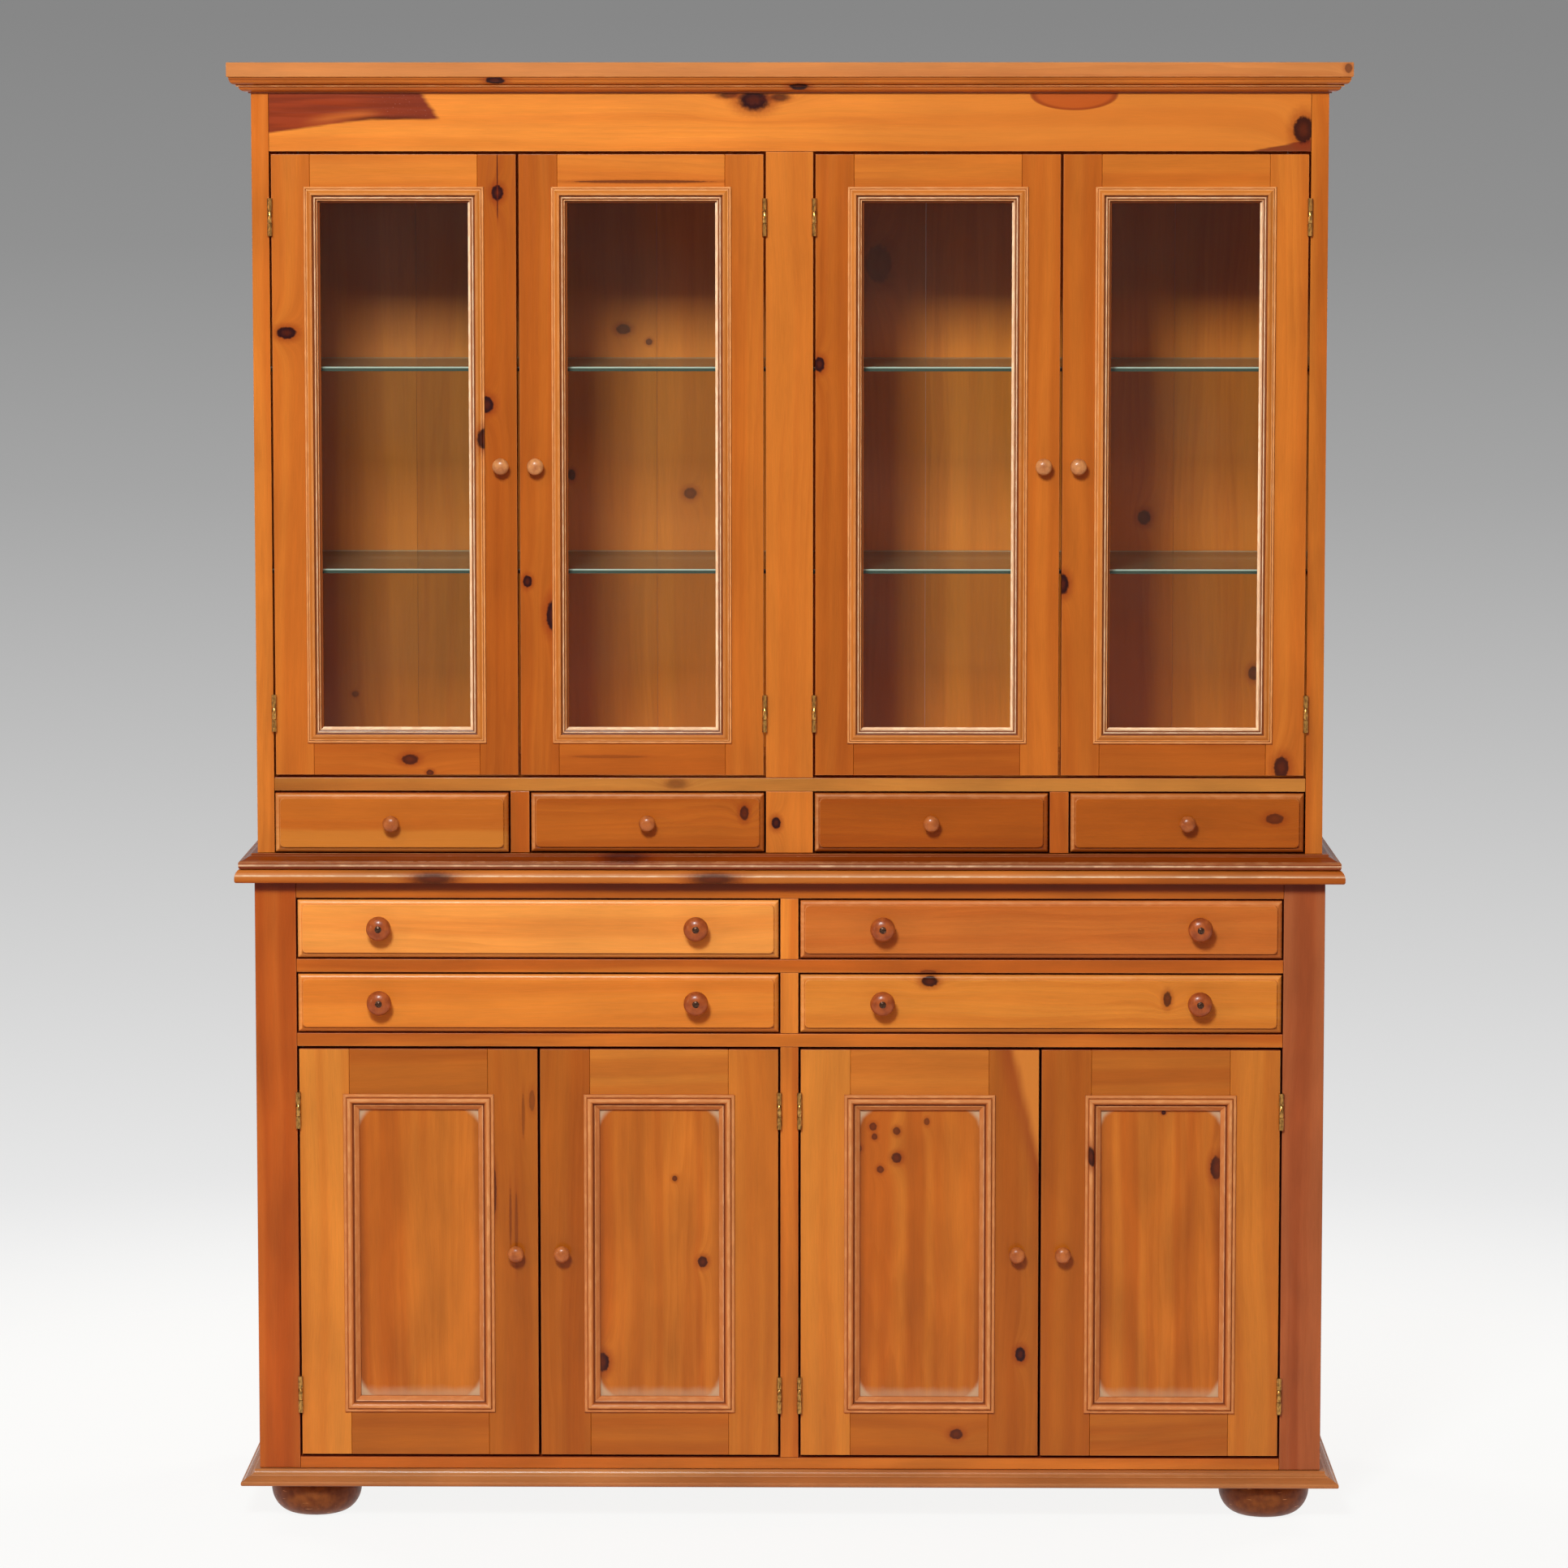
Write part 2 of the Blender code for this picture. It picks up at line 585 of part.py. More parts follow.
def leaf(name, z, toward, sunk, tabs, parent):
    """One leaf in the hinge gap, with tabs to its knuckles in the given rows of its height.

    toward is the side of the pin that the leaf lies on, and sunk how far it goes past its clearance.
    """
    third = HINGE_HEIGHT / 3
    rows = (z, z + third - FIT, z + third, z + 2 * third, z + 2 * third + FIT, z + HINGE_HEIGHT)
    holes = {(0, row) for row in range(len(rows) - 1) if row not in tabs}
    start = toward * FIT / 2
    thickness = HINGE_GAP / 2 - FIT / 2 - FIT + sunk
    return sheet(name, (0.0, SETBACK, SETBACK + LEAF_DEPTH), rows, holes,
                 lambda y, height: (start, y, height), Vector((toward * thickness, 0.0, 0.0)), parent)


def door_hinge_parts(name, z, toward, parent):
    """The door's leaf with its middle knuckle, and the bore for the pin."""
    third = HINGE_HEIGHT / 3
    middle = Vector((0.0, 0.0, z + HINGE_HEIGHT / 2))
    plate = leaf(name + "_leaf", z, toward, 2 * FIT, (2,), parent)
    knuckle = rod(name + "_knuckle", middle, BARREL_RADIUS, third, "Z", HINGE_SIDES, parent)
    bore = rod(name + "_bore", middle, PIN_RADIUS + PIN_CLEARANCE, HINGE_HEIGHT, "Z", HINGE_SIDES, parent)
    return [plate, knuckle], bore


def fixed_hinge(name, z, toward, parent):
    """The carcass half: a leaf, the two outer knuckles and the pin between them."""
    third = HINGE_HEIGHT / 3
    low, high = z + third - FIT, z + 2 * third + FIT
    profile = [(0.0, z + HINGE_HEIGHT), (BARREL_RADIUS, z + HINGE_HEIGHT), (BARREL_RADIUS, high),
               (PIN_RADIUS, high), (PIN_RADIUS, low), (BARREL_RADIUS, low), (BARREL_RADIUS, z), (0.0, z)]
    barrel = turned(name, profile, HINGE_SIDES, parent)
    plate = leaf(name + "_leaf", z, toward, 0.0, (0, 4), parent)
    keep(combine(barrel, [plate]), BRASS)


def door(name, opening, z_range, hinged_left, stile, glazed):
    """One door with its pane or panel, its knob and its two butt hinges."""
    left, right = opening
    width = (right - left - 2 * HINGE_GAP - MEETING_GAP) / 2
    low, high = z_range[0] + DOOR_CLEARANCE, z_range[1] - DOOR_CLEARANCE
    toward = 1 if hinged_left else -1
    axis_x = left + HINGE_GAP / 2 if hinged_left else right - HINGE_GAP / 2
    axis = (axis_x, FACE_Y - SETBACK, low)
    body = pivot(name + "_pivot", axis)
    jamb = pivot(name + "_jamb", axis)
    x = sorted((toward * HINGE_GAP / 2, toward * (HINGE_GAP / 2 + width)))
    z = (0.0, high - low)
    frame = (glazed_frame if glazed else panelled_frame)(name + "_frame", x, z, stile, body)
    for place, hinge_z in hinge_levels(high - low).items():
        hinge = f"{name}_hinge_{place}"
        joined, bore = door_hinge_parts(hinge + "_door", hinge_z, toward, body)
        combine(frame, joined)
        combine(frame, [bore], "DIFFERENCE")
        fixed_hinge(hinge, hinge_z, -toward, jamb)
    knob_inset = (stile - MOULDING_LAP) / 2
    knob_x = toward * (HINGE_GAP / 2 + width - knob_inset)
    combine(frame, [knob(name + "_knob", SMALL_KNOB_RADIUS, SMALL_KNOB_LENGTH,
                         (knob_x, SETBACK, (high - low) / 2), body)])
    keep(frame, PINE)
    if glazed:
        inset = stile + PANE_CLEARANCE
        front = SETBACK + PANE_SEAT + FIT
        keep(block(name + "_glass", (x[0] + inset, x[1] - inset), (front, front + PANE),
                   (z[0] + inset, z[1] - inset), body), GLASS)


def all_doors():
    units = (("hutch", HUTCH_BAY, (HUTCH_DOOR_Z, FRIEZE_Z), HUTCH_DOOR_STILE, True),
             ("buffet", BUFFET_BAY, (BUFFET_DOOR_Z, LOWER_RAIL_Z), BUFFET_DOOR_STILE, False))
    for unit, (near, far), z_range, stile, glazed in units:
        number = 1
        for opening in ((-far, -near), (near, far)):
            for hinged_left in (True, False):
                door(f"{unit}_door_{number}", opening, z_range, hinged_left, stile, glazed)
                number += 1


# Drawers


def drawer(name, x, z_range, tray_back, ajar, knob_radius, knob_length, knob_spread):
    """A bevelled front with its open tray and its knobs, on a slide towards the front."""
    half = (x[1] - x[0]) / 2 - DRAWER_GAP
    low, high = DRAWER_GAP, z_range[1] - z_range[0] - DRAWER_GAP
    body = pivot(name + "_slide", ((x[0] + x[1]) / 2, FACE_Y - ajar, z_range[0]))
    steps = [(0.0, DRAWER_FRONT - DRAWER_PROUD), (0.0, DRAWER_EDGE - DRAWER_PROUD / 2),
             (DRAWER_EDGE, -DRAWER_PROUD / 2), (DRAWER_BEVEL, -DRAWER_PROUD)]
    front = loft(name, [upright((-half, half), (low, high), inset, y) for inset, y in steps], body)
    box_half = half - TRAY_INSET
    box_top = z_range[1] - z_range[0] - TRAY_HEADROOM
    start = DRAWER_FRONT - DRAWER_PROUD - LAP
    tray = loft(name + "_tray", [
        level(box_half, start, tray_back, 2 * FIT),
        level(box_half, start, tray_back, box_top),
        level(box_half - DRAWER_WALL, start + DRAWER_WALL, tray_back - DRAWER_WALL, box_top),
        level(box_half - DRAWER_WALL, start + DRAWER_WALL, tray_back - DRAWER_WALL, DRAWER_BOTTOM)], body)
    knob_z = (low + high) / 2
    knobs = [knob(f"{name}_knob_{number}", knob_radius, knob_length, (at, -DRAWER_PROUD, knob_z), body)
             for number, at in enumerate(knob_spread, start=1)]
    keep(combine(front, [tray] + knobs), PALE_PINE)


def all_drawers():
    near, far = HUTCH_BAY
    half_stile = HUTCH_DRAWER_STILE / 2
    inner = (near, HUTCH_DRAWER_MIDDLE - half_stile)
    outer = (HUTCH_DRAWER_MIDDLE + half_stile, far)
    hutch_places = ((-outer[1], -outer[0]), (-inner[1], -inner[0]), inner, outer)
    tray_back = HUTCH_DEPTH - BACK_PANEL - TRAY_BACK_SPACE
    for number, x in enumerate(hutch_places, start=1):
        drawer(f"hutch_drawer_{number}", x, (HUTCH_DRAWER_Z, HUTCH_RAIL_Z), tray_back,
               AJAR if number == 1 else 0.0, SMALL_KNOB_RADIUS, SMALL_KNOB_LENGTH, (0.0,))
    near, far = BUFFET_BAY
    tray_back = BUFFET_DEPTH - BACK_PANEL - TRAY_BACK_SPACE
    for row, z in (("upper", UPPER_DRAWER_Z), ("lower", LOWER_DRAWER_Z)):
        for side, x in (("left", (-far, -near)), ("right", (near, far))):
            drawer(f"buffet_drawer_{row}_{side}", x, (z, z + BUFFET_DRAWER_OPENING), tray_back, 0.0,
                   BIG_KNOB_RADIUS, BIG_KNOB_LENGTH, (-BIG_KNOB_SPREAD, BIG_KNOB_SPREAD))


hutch_sides()
hutch_partition()
hutch_boards()
hutch_face_frame()
hutch_base()
cornice()
glass_shelves()
buffet_sides()
buffet_partition()
buffet_boards()
buffet_face_frame()
buffet_top()
base_board()
bun_feet()
all_doors()
all_drawers()
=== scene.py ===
"""A two-part pine china cabinet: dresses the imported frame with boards, mouldings, glass and brass."""
import math

import bpy
import numpy as np
from mathutils import Euler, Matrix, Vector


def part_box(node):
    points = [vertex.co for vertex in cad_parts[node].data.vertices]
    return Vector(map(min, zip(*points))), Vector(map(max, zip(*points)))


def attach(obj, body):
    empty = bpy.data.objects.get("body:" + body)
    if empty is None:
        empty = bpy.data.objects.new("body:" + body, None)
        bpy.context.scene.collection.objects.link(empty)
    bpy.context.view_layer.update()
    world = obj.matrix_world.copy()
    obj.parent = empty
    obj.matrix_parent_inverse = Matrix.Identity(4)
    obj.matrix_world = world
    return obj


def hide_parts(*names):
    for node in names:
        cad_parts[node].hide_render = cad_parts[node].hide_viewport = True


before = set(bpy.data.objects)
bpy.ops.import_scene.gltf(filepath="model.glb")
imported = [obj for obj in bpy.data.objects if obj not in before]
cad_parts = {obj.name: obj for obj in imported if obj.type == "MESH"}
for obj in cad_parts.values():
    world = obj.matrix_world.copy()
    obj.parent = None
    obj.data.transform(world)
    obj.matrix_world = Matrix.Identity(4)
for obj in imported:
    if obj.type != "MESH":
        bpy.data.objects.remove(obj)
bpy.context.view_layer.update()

# Sizes of the cabinet's boards, in metres, as the frame has them
HAIR = 0.0002
FACE_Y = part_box("hutch_face_frame")[0].y
HUTCH_BACK_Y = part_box("hutch_left_side")[1].y
BUFFET_BACK_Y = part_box("buffet_left_side")[1].y
FRAME_BOARD = 0.020
DOOR_BOARD = 0.020
HUTCH_STILE = 0.052
BUFFET_STILE = 0.068
MOULDING_LAP = 0.0085
HINGE_GAP = 0.0025
BARREL = 0.0036
HINGE_HEIGHT = 0.050
HINGE_INSET = 0.059
LEAF_DEPTH = 0.016
HINGE_OUT = 0.0039
PANEL_SEAT = 0.006
PANEL = 0.008
DRAWER_FRONT = 0.020
DRAWER_PROUD = 0.006
DRAWER_SLACK = 0.0006
DRAWER_WALL = 0.012
DRAWER_BOTTOM = 0.008
LONG_DRAWER_HEIGHT = 0.083
SMALL_DRAWER_Z = 0.919
AJAR = 0.008
HUTCH_INSIDE = 0.697
HUTCH_CENTRE = 0.032
DRAWER_DIVIDER_X = 0.3645
DRAWER_DIVIDER = 0.013
BUFFET_HALF = 0.725
BUFFET_BAY = (0.0125, 0.669)
CARCASS_Z = 0.0713
BUFFET_DOOR_Z = 0.087
LOWER_RAIL_Z = 0.654
LOWER_DRAWER_Z = 0.6725
MIDDLE_RAIL_Z = 0.7555
UPPER_DRAWER_Z = 0.774
TOP_RAIL_Z = 0.857
BUFFET_TOP_Z = 0.8795
HUTCH_DRAWER_Z = 0.9193
HUTCH_RAIL_Z = 1.003
HUTCH_DOOR_Z = 1.0215
FRIEZE_Z = 1.863
CORNICE_Z = 1.961
HUTCH_HALF = 0.720
SMALL_KNOB = (0.0112, 0.022)
BIG_KNOB = (0.0168, 0.0292)
SCREW_OUT = 0.0007
BIG_KNOB_SPREAD = 0.2145
KNOB_RISE = 0.0027

# Varnished pine, from the palest board to the reddest, and the other finishes, as 8-bit display colours
PALE_BOARD = (242, 150, 62)
RED_BOARD = (160, 78, 23)
# Pale wear on rubbed edges and scratches, also used for painted highlights along rounds and beads, and the
# near white of the brightest painted highlight lines
WORN_AND_HIGHLIGHT = (250, 184, 122)
PAINTED_HIGHLIGHT = (255, 224, 186)
KNOT_HALO = (140, 44, 8)
KNOT_HEART = (78, 24, 9)
KNOT_RIM = (44, 5, 1)
HEARTWOOD = (124, 40, 18)
DUST = (206, 180, 148)
# Painted shade: the darker colour of faces in gaps, quirks and under overhangs, the colour deep in a gap,
# and the edge value that marks a face deep in a gap
PAINTED_SHADE = (96, 24, 8)
GAP_SHADE = (150, 56, 17)
DEEP_PAINTED_SHADE = -0.98
VARNISH_SHEEN = 0.0045
WEDGE_X = 0.345
WEDGE_Z = 0.475
KNOB_TINTS = {"hutch": (216, 146, 88), "buffet": (198, 116, 60), "big": (182, 92, 40),
              "small": (188, 105, 49)}


def tone(level):
    """Varnished pine between its palest board, at 0, and its reddest, at 1."""
    return tuple(np.array(PALE_BOARD) + (np.array(RED_BOARD) - np.array(PALE_BOARD)) * level)


def scaled(colour, parts):
    """A display colour with its red, green and blue each scaled."""
    return tuple(np.array(colour) * np.array(parts))


def linear(colour, sheen=0.0):
    """The linear light of a display colour, less the grey that a varnish mirrors, and an alpha of one."""
    parts = np.array(colour) / 255
    light = np.where(parts <= 0.04045, parts / 12.92, ((parts + 0.055) / 1.055) ** 2.4)
    return (*np.maximum(light - sheen, 0.002).tolist(), 1.0)


class Value:
    """A number that varies over a surface; operators on it add Math nodes to its finish."""

    def __init__(self, finish, socket):
        self.finish = finish
        self.socket = socket

    def maths(self, operation, first, second=0.0):
        return self.finish.node("ShaderNodeMath", {"operation": operation}, {0: first, 1: second})

    def __add__(self, other):
        return self.maths("ADD", self, other)

    def __sub__(self, other):
        return self.maths("SUBTRACT", self, other)

    def __rsub__(self, other):
        return self.maths("SUBTRACT", other, self)

    def __mul__(self, other):
        return self.maths("MULTIPLY", self, other)

    def __truediv__(self, other):
        return self.maths("DIVIDE", self, other)

    def __rtruediv__(self, other):
        return self.maths("DIVIDE", other, self)

    def __pow__(self, other):
        return self.maths("POWER", self, other)

    def __abs__(self):
        return self.maths("ABSOLUTE", self)

    def root(self):
        return self.maths("SQRT", self)

    def fraction(self):
        return self.maths("FRACT", self)

    def at_least(self, other):
        return self.maths("MAXIMUM", self, other)

    def at_most(self, other):
        return self.maths("MINIMUM", self, other)

    def rise(self, low, high):
        """Climbs smoothly from 0 at low to 1 at high; high may be the lower number."""
        span = {"From Min": low, "From Max": high}
        return self.finish.node("ShaderNodeMapRange", {"interpolation_type": "SMOOTHSTEP"},
                                {"Value": self, **span})

    __radd__ = __add__
    __rmul__ = __mul__


class Finish:
    """One procedural material, or the world, and the nodes that make it."""

    def __init__(self, name, world=None):
        self.owner = world or bpy.data.materials.new(name)
        self.owner.use_nodes = True
        self.tree = self.owner.node_tree
        self.tree.nodes.clear()
        self.output = self.tree.nodes.new("ShaderNodeOutputWorld" if world else "ShaderNodeOutputMaterial")

    def node(self, kind, settings=None, inputs=None, output=0):
        """Adds a node: its settings first, then the values or links of its sockets; gives one output."""
        made = self.tree.nodes.new(kind)
        for key, setting in (settings or {}).items():
            setattr(made, key, setting)
        for key, value in (inputs or {}).items():
            socket = made.inputs[key]
            if isinstance(value, Value):
                self.tree.links.new(value.socket, socket)
            else:
                socket.default_value = value
        return Value(self, made.outputs[output])

    def parts(self, vector):
        """The three numbers of a vector."""
        made = self.node("ShaderNodeSeparateXYZ", {}, {0: vector})
        return [Value(self, socket) for socket in made.socket.node.outputs]

    def joined(self, x, y, z):
        return self.node("ShaderNodeCombineXYZ", {}, {0: x, 1: y, 2: z})

    def place(self):
        """Object coordinates, which are the frame's metres."""
        return self.parts(self.node("ShaderNodeTexCoord", output="Object"))

    def noise(self, x, y, z, detail=2.0, rough=0.5):
        """Smooth noise about 0.5 at a point, whose scale is already in the three numbers."""
        return self.node("ShaderNodeTexNoise", {"noise_dimensions": "3D"},
                         {"Vector": self.joined(x, y, z), "Scale": 1.0, "Detail": detail,
                          "Roughness": rough})

    def attribute(self, name):
        return self.node("ShaderNodeAttribute", {"attribute_name": name}, output="Fac")

    def blend(self, factor, first, second, mode="MIX"):
        """A colour between two, by a factor."""
        return self.node("ShaderNodeMix", {"data_type": "RGBA", "blend_type": mode},
                         {"Factor": factor, 6: first, 7: second}, output=2)

    def grey(self, level):
        """A grey of a varying level, to scale a colour by."""
        return self.node("ShaderNodeCombineColor", {}, {0: level, 1: level, 2: level})

    def seen(self):
        """One where the camera looks, straight or by way of metal, varnish or glass."""
        path = self.node("ShaderNodeLightPath").socket.node
        kinds = ("Camera", "Glossy", "Transmission")
        rays = [Value(self, path.outputs[f"Is {kind} Ray"]) for kind in kinds]
        return rays[0].at_least(rays[1]).at_least(rays[2])

    def shader(self, kind, inputs=None):
        """A shader of a kind, such as Diffuse."""
        return self.node("ShaderNodeBsdf" + kind, {}, inputs, output="BSDF")

    def mix(self, factor, first, second):
        """A shader between two, by a factor."""
        return self.node("ShaderNodeMixShader", {}, {0: factor, 1: first, 2: second})

    def show(self, shader):
        """Ends the nodes with a shader and gives the material."""
        self.tree.links.new(shader.socket, self.output.inputs["Surface"])
        return self.owner

    def surface(self, inputs):
        return self.show(self.shader("Principled", inputs))


# Pine


def knot_field(f, run, across, knot):
    """How far a point is from a knot's middle, in the knot's own half lengths, with a ragged edge."""
    at_run, at_across, half_run, half_across = knot[:4]
    ragged = f.noise(run * 240, across * 240, at_run * 90, 2.0)
    length = (run - at_run) / half_run
    width = (across - at_across) / half_across
    return (length * length + width * width).root() + (ragged - 0.5) * 0.4


def knotted(f, colour, run, across, knots):
    """Paints each knot: a red halo, a dark ragged rim and a brown heart with faint rings."""
    for knot in knots:
        far = knot_field(f, run, across, knot)
        strength = knot[4] if len(knot) > 4 else 1.0
        halo = far.rise(2.2, 0.9) * (0.55 * strength)
        colour = f.blend(halo, colour, linear(KNOT_HALO))
        soft = knot[5] if len(knot) > 5 else 0.15
        core = far.rise(1.0 + soft, 1.0 - soft) * strength
        rings = far.rise(0.15, 0.75)
        heart = f.blend(rings, linear(KNOT_HEART), linear(KNOT_RIM))
        colour = f.blend(core, colour, heart)
    return colour


# How a tint is scaled in the redder bands of a board and in the late wood of its growth rings
REDDER = (0.90, 0.78, 0.68)
RINGED = (0.82, 0.66, 0.52)
RING_WIDTH = 0.0125


def pine(name, along, tint, seed, knots=(), blotch=None, figure=0.16, haze=None, dull=0.0, wear_and_light=0.24,
         calm=1.0, polish=0.10):
    """Varnished pine.

    Growth rings are the distance from a pith that lies behind the board and leans along it, which draws the
    long arches of flat-sawn wood; knots push the rings aside. Bands, patches, streaks and fibres are noise
    drawn out along the grain. A blotch paints on the plain wood. Above zero the edge attribute paints pale
    wear and painted highlights, and below zero painted shade; an overlay, where a board has one, adds dust
    and painted shade on top of all.
    """
    f = Finish(name)
    chance = np.random.default_rng(int(seed * 1000) + 7)
    if along == "path":
        run, across, _ = f.parts(f.node("ShaderNodeUVMap", {"uv_map": "grain"}))
        depth = across * 0.0
    else:
        x, y, z = f.place()
        run, across, depth = {"X": (x, z, y), "Z": (z, x + y, y * 0.2), "Y": (y, z, x)}[along]
    shift = float(chance.uniform(0, 40))
    wander = f.noise(run * 1.1, across * 5.0, shift, 2.0) - 0.5
    line = across + wander * 0.06
    for knot in knots:
        length = (run - knot[0]) / (knot[2] * 3.2)
        width = (across - knot[1]) / (knot[3] * 2.0)
        near = 1.0 / (length * length + width * width + 1.0)
        line = line + near * near * (knot[3] * 2.4)
    pith = float(chance.uniform(-0.10, 0.10))
    lean = float(chance.uniform(0.06, 0.16)) * float(chance.choice([-1.0, 1.0]))
    sideways = line - pith
    behind = depth + run * lean + float(chance.uniform(0.07, 0.14))
    radius = (sideways * sideways + behind * behind).root()
    uneven = f.noise(run * 4.0, line * 45.0, shift + 5.0, 2.0) - 0.5
    ring = (radius / RING_WIDTH + uneven * 2.6).fraction()
    late = ring.rise(0.15, 0.88) * ring.rise(1.0, 0.93)
    shown = f.noise(run * 1.7, across * 10.0, shift + 12.0, 1.0).rise(0.42, 0.66)
    band = f.noise(run * 0.7, line * 36.0, shift + 3.0, 1.0)
    patch = f.noise(run * 6.0, line * 20.0, shift + 8.0, 2.0)
    streak = f.noise(run * 4.0, line * 130.0, depth * 130 + shift, 2.0)
    fibre = f.noise(run * 38.0, line * 800.0, depth * 800 + shift, 2.0, 0.6)
    plain, redder, ringed = (linear(scaled(tint, parts), VARNISH_SHEEN) for parts in (1.0, REDDER, RINGED))
    colour = f.blend(band.rise(0.40, 0.64) * (0.75 * calm), plain, redder)
    colour = f.blend(late * shown * figure, colour, ringed)
    level = 1.04 + (streak - 0.5) * 0.18 + (fibre - 0.5) * 0.24 + (patch - 0.5) * (0.80 * calm)
    colour = f.blend(1.0, colour, f.grey(level), "MULTIPLY")
    if blotch:
        colour = blotch(f, colour, run, across)
    # Above zero the edge value paints pale wear and painted highlights; from 1.2 up it paints the near white
    # painted highlight lines
    edge = f.attribute("edge")
    chipped = f.noise(run * 55.0, across * 160.0, shift, 2.0)
    wear = edge.at_least(0.0) * (0.55 + chipped.rise(0.42, 0.70) * 0.45)
    pale_edge_colour = f.blend(edge.rise(1.2, 1.5), linear(WORN_AND_HIGHLIGHT), linear(PAINTED_HIGHLIGHT))
    colour = f.blend((wear * wear_and_light).at_most(0.9), colour, pale_edge_colour)
    # Below zero the edge value paints shade, darkest on the faces deep in a gap
    shade_colour = f.blend(edge.rise(-0.75, -0.95), linear(PAINTED_SHADE), linear(GAP_SHADE))
    colour = f.blend((edge * -0.98).at_least(0.0), colour, shade_colour)
    colour = knotted(f, colour, run, across, knots)
    if haze:
        colour = haze(f, colour)
    deep = edge.rise(-0.85, -0.95)
    shine = 0.20 + dull + (streak - 0.5) * 0.10 + late * 0.03 + deep * 0.7 + wear * 0.15
    relief = late * shown * 0.5 + fibre * 0.5
    normal = f.node("ShaderNodeBump", {}, {"Strength": 0.10, "Distance": 0.0006, "Height": relief})
    coat = (1.0 - deep) * polish if polish else 0.0
    return f.surface({"Base Color": colour, "Roughness": shine, "Normal": normal, "Coat Weight": coat,
                      "Coat Roughness": 0.09, "Specular IOR Level": 0.16})


def heartwood_corner(f, colour, run, across):
    """The frieze's figure: heartwood with a torn end at the left, a red lens and a wedge at the right."""
    torn = f.noise(run * 28.0, across * 260.0, 4.0, 3.0) - 0.5
    grain = f.noise(run * 7.0, across * 110.0, 9.0, 2.0)
    colour = f.blend(run.rise(-0.15, 0.45) * 0.5, colour, linear(tone(0.5)))
    lens_run = (run - 0.380) / 0.058
    lens_across = (across - 1.939) / 0.021
    lens = (lens_run * lens_run + lens_across * lens_across).root()
    colour = f.blend(lens.rise(1.04, 0.94) * 0.75, colour, linear((176, 68, 20)))
    colour = f.blend(lens.rise(1.04, 0.98) * lens.rise(0.80, 0.95) * 0.5, colour, linear((112, 30, 8)))
    wedge = (run - 0.612) * 0.20 - (across - FRIEZE_Z) + torn * 0.004
    colour = f.blend(wedge.rise(-0.001, 0.002) * run.rise(0.58, 0.63) * 0.9, colour, linear((120, 48, 26)))
    lower = run.rise(-0.75, -0.54) * 0.021 + 1.884
    above = (across - lower + torn * 0.005).rise(-0.0015, 0.0025)
    end = -0.463 - (across - 1.9015) * 0.66
    before = (end - run + torn * 0.008).rise(-0.002, 0.008)
    red = f.blend(grain.rise(0.36, 0.66), linear(HEARTWOOD), linear((148, 52, 22)))
    purple = run.rise(-0.60, -0.48)
    red = f.blend(purple * 0.7, red, linear((112, 36, 24)))
    height = (across - lower) / 0.0085
    tongue = ((abs(height - 1.0) * -1.0) + 1.0).at_least(0.0)
    tongue = tongue * run.rise(-0.66, -0.61) * run.rise(-0.535, -0.58)
    red = f.blend(tongue * 0.5, red, linear((222, 122, 50)))
    dark = (across - lower + torn * 0.008).rise(0.008, 0.001)
    dark = dark * run.rise(-0.62, -0.555) * run.rise(-0.47, -0.52)
    red = f.blend(dark * 0.8, red, linear((66, 16, 8)))
    specks = f.noise(run * 420.0, across * 700.0, 3.0, 1.0).rise(0.70, 0.76) * run.rise(-0.585, -0.52)
    red = f.blend(specks * 0.3, red, linear((214, 170, 150)))
    return f.blend(above * before * 0.96, colour, red)


def painted_shade_inner_face(inner):
    """Painted shade on a side's inner face where a door's gap shows it; inner is that face's distance."""

    def haze(f, colour):
        x, y, _ = f.place()
        gap = abs(x).rise(inner + 0.0012, inner + 0.0006) * y.rise(FACE_Y + 0.0002, FACE_Y + 0.0006)
        return f.blend(gap * y.rise(FACE_Y + 0.024, FACE_Y + 0.018) * 0.9, colour, linear(PAINTED_SHADE))

    return haze


def pale_below(height):
    """Golden sapwood below a height, with a wandering edge."""

    def blotch(f, colour, run, across):
        wander = f.noise(run * 9.0, across * 60.0, 2.0, 2.0) - 0.5
        below = (across + wander * 0.012).rise(height + 0.004, height - 0.004)
        return f.blend(below * 0.7, colour, linear((208, 130, 50)))

    return blotch


def pale_wedge(f, colour, run, across):
    """A pale wedge that widens upwards from the right edge of a stile, with a red line along its side."""
    wander = f.noise(run * 14.0, across * 50.0, 5.0, 2.0) - 0.5
    side = across - FACE_Y - WEDGE_X + (run - WEDGE_Z) * 0.25 + wander * 0.010
    colour = f.blend(side.rise(-0.026, -0.002) * 0.5, colour, linear((150, 62, 22)))
    return f.blend(side.rise(-0.006, 0.010) * 0.65, colour, linear((236, 150, 62)))


def painted_shadow_under_top(f, colour):
    """Painted shadow that fades out below the buffet's top board."""
    z = f.place()[2]
    return f.blend(z.rise(BUFFET_TOP_Z - 0.020, BUFFET_TOP_Z - 0.006) * 0.65, colour, linear(PAINTED_SHADE))


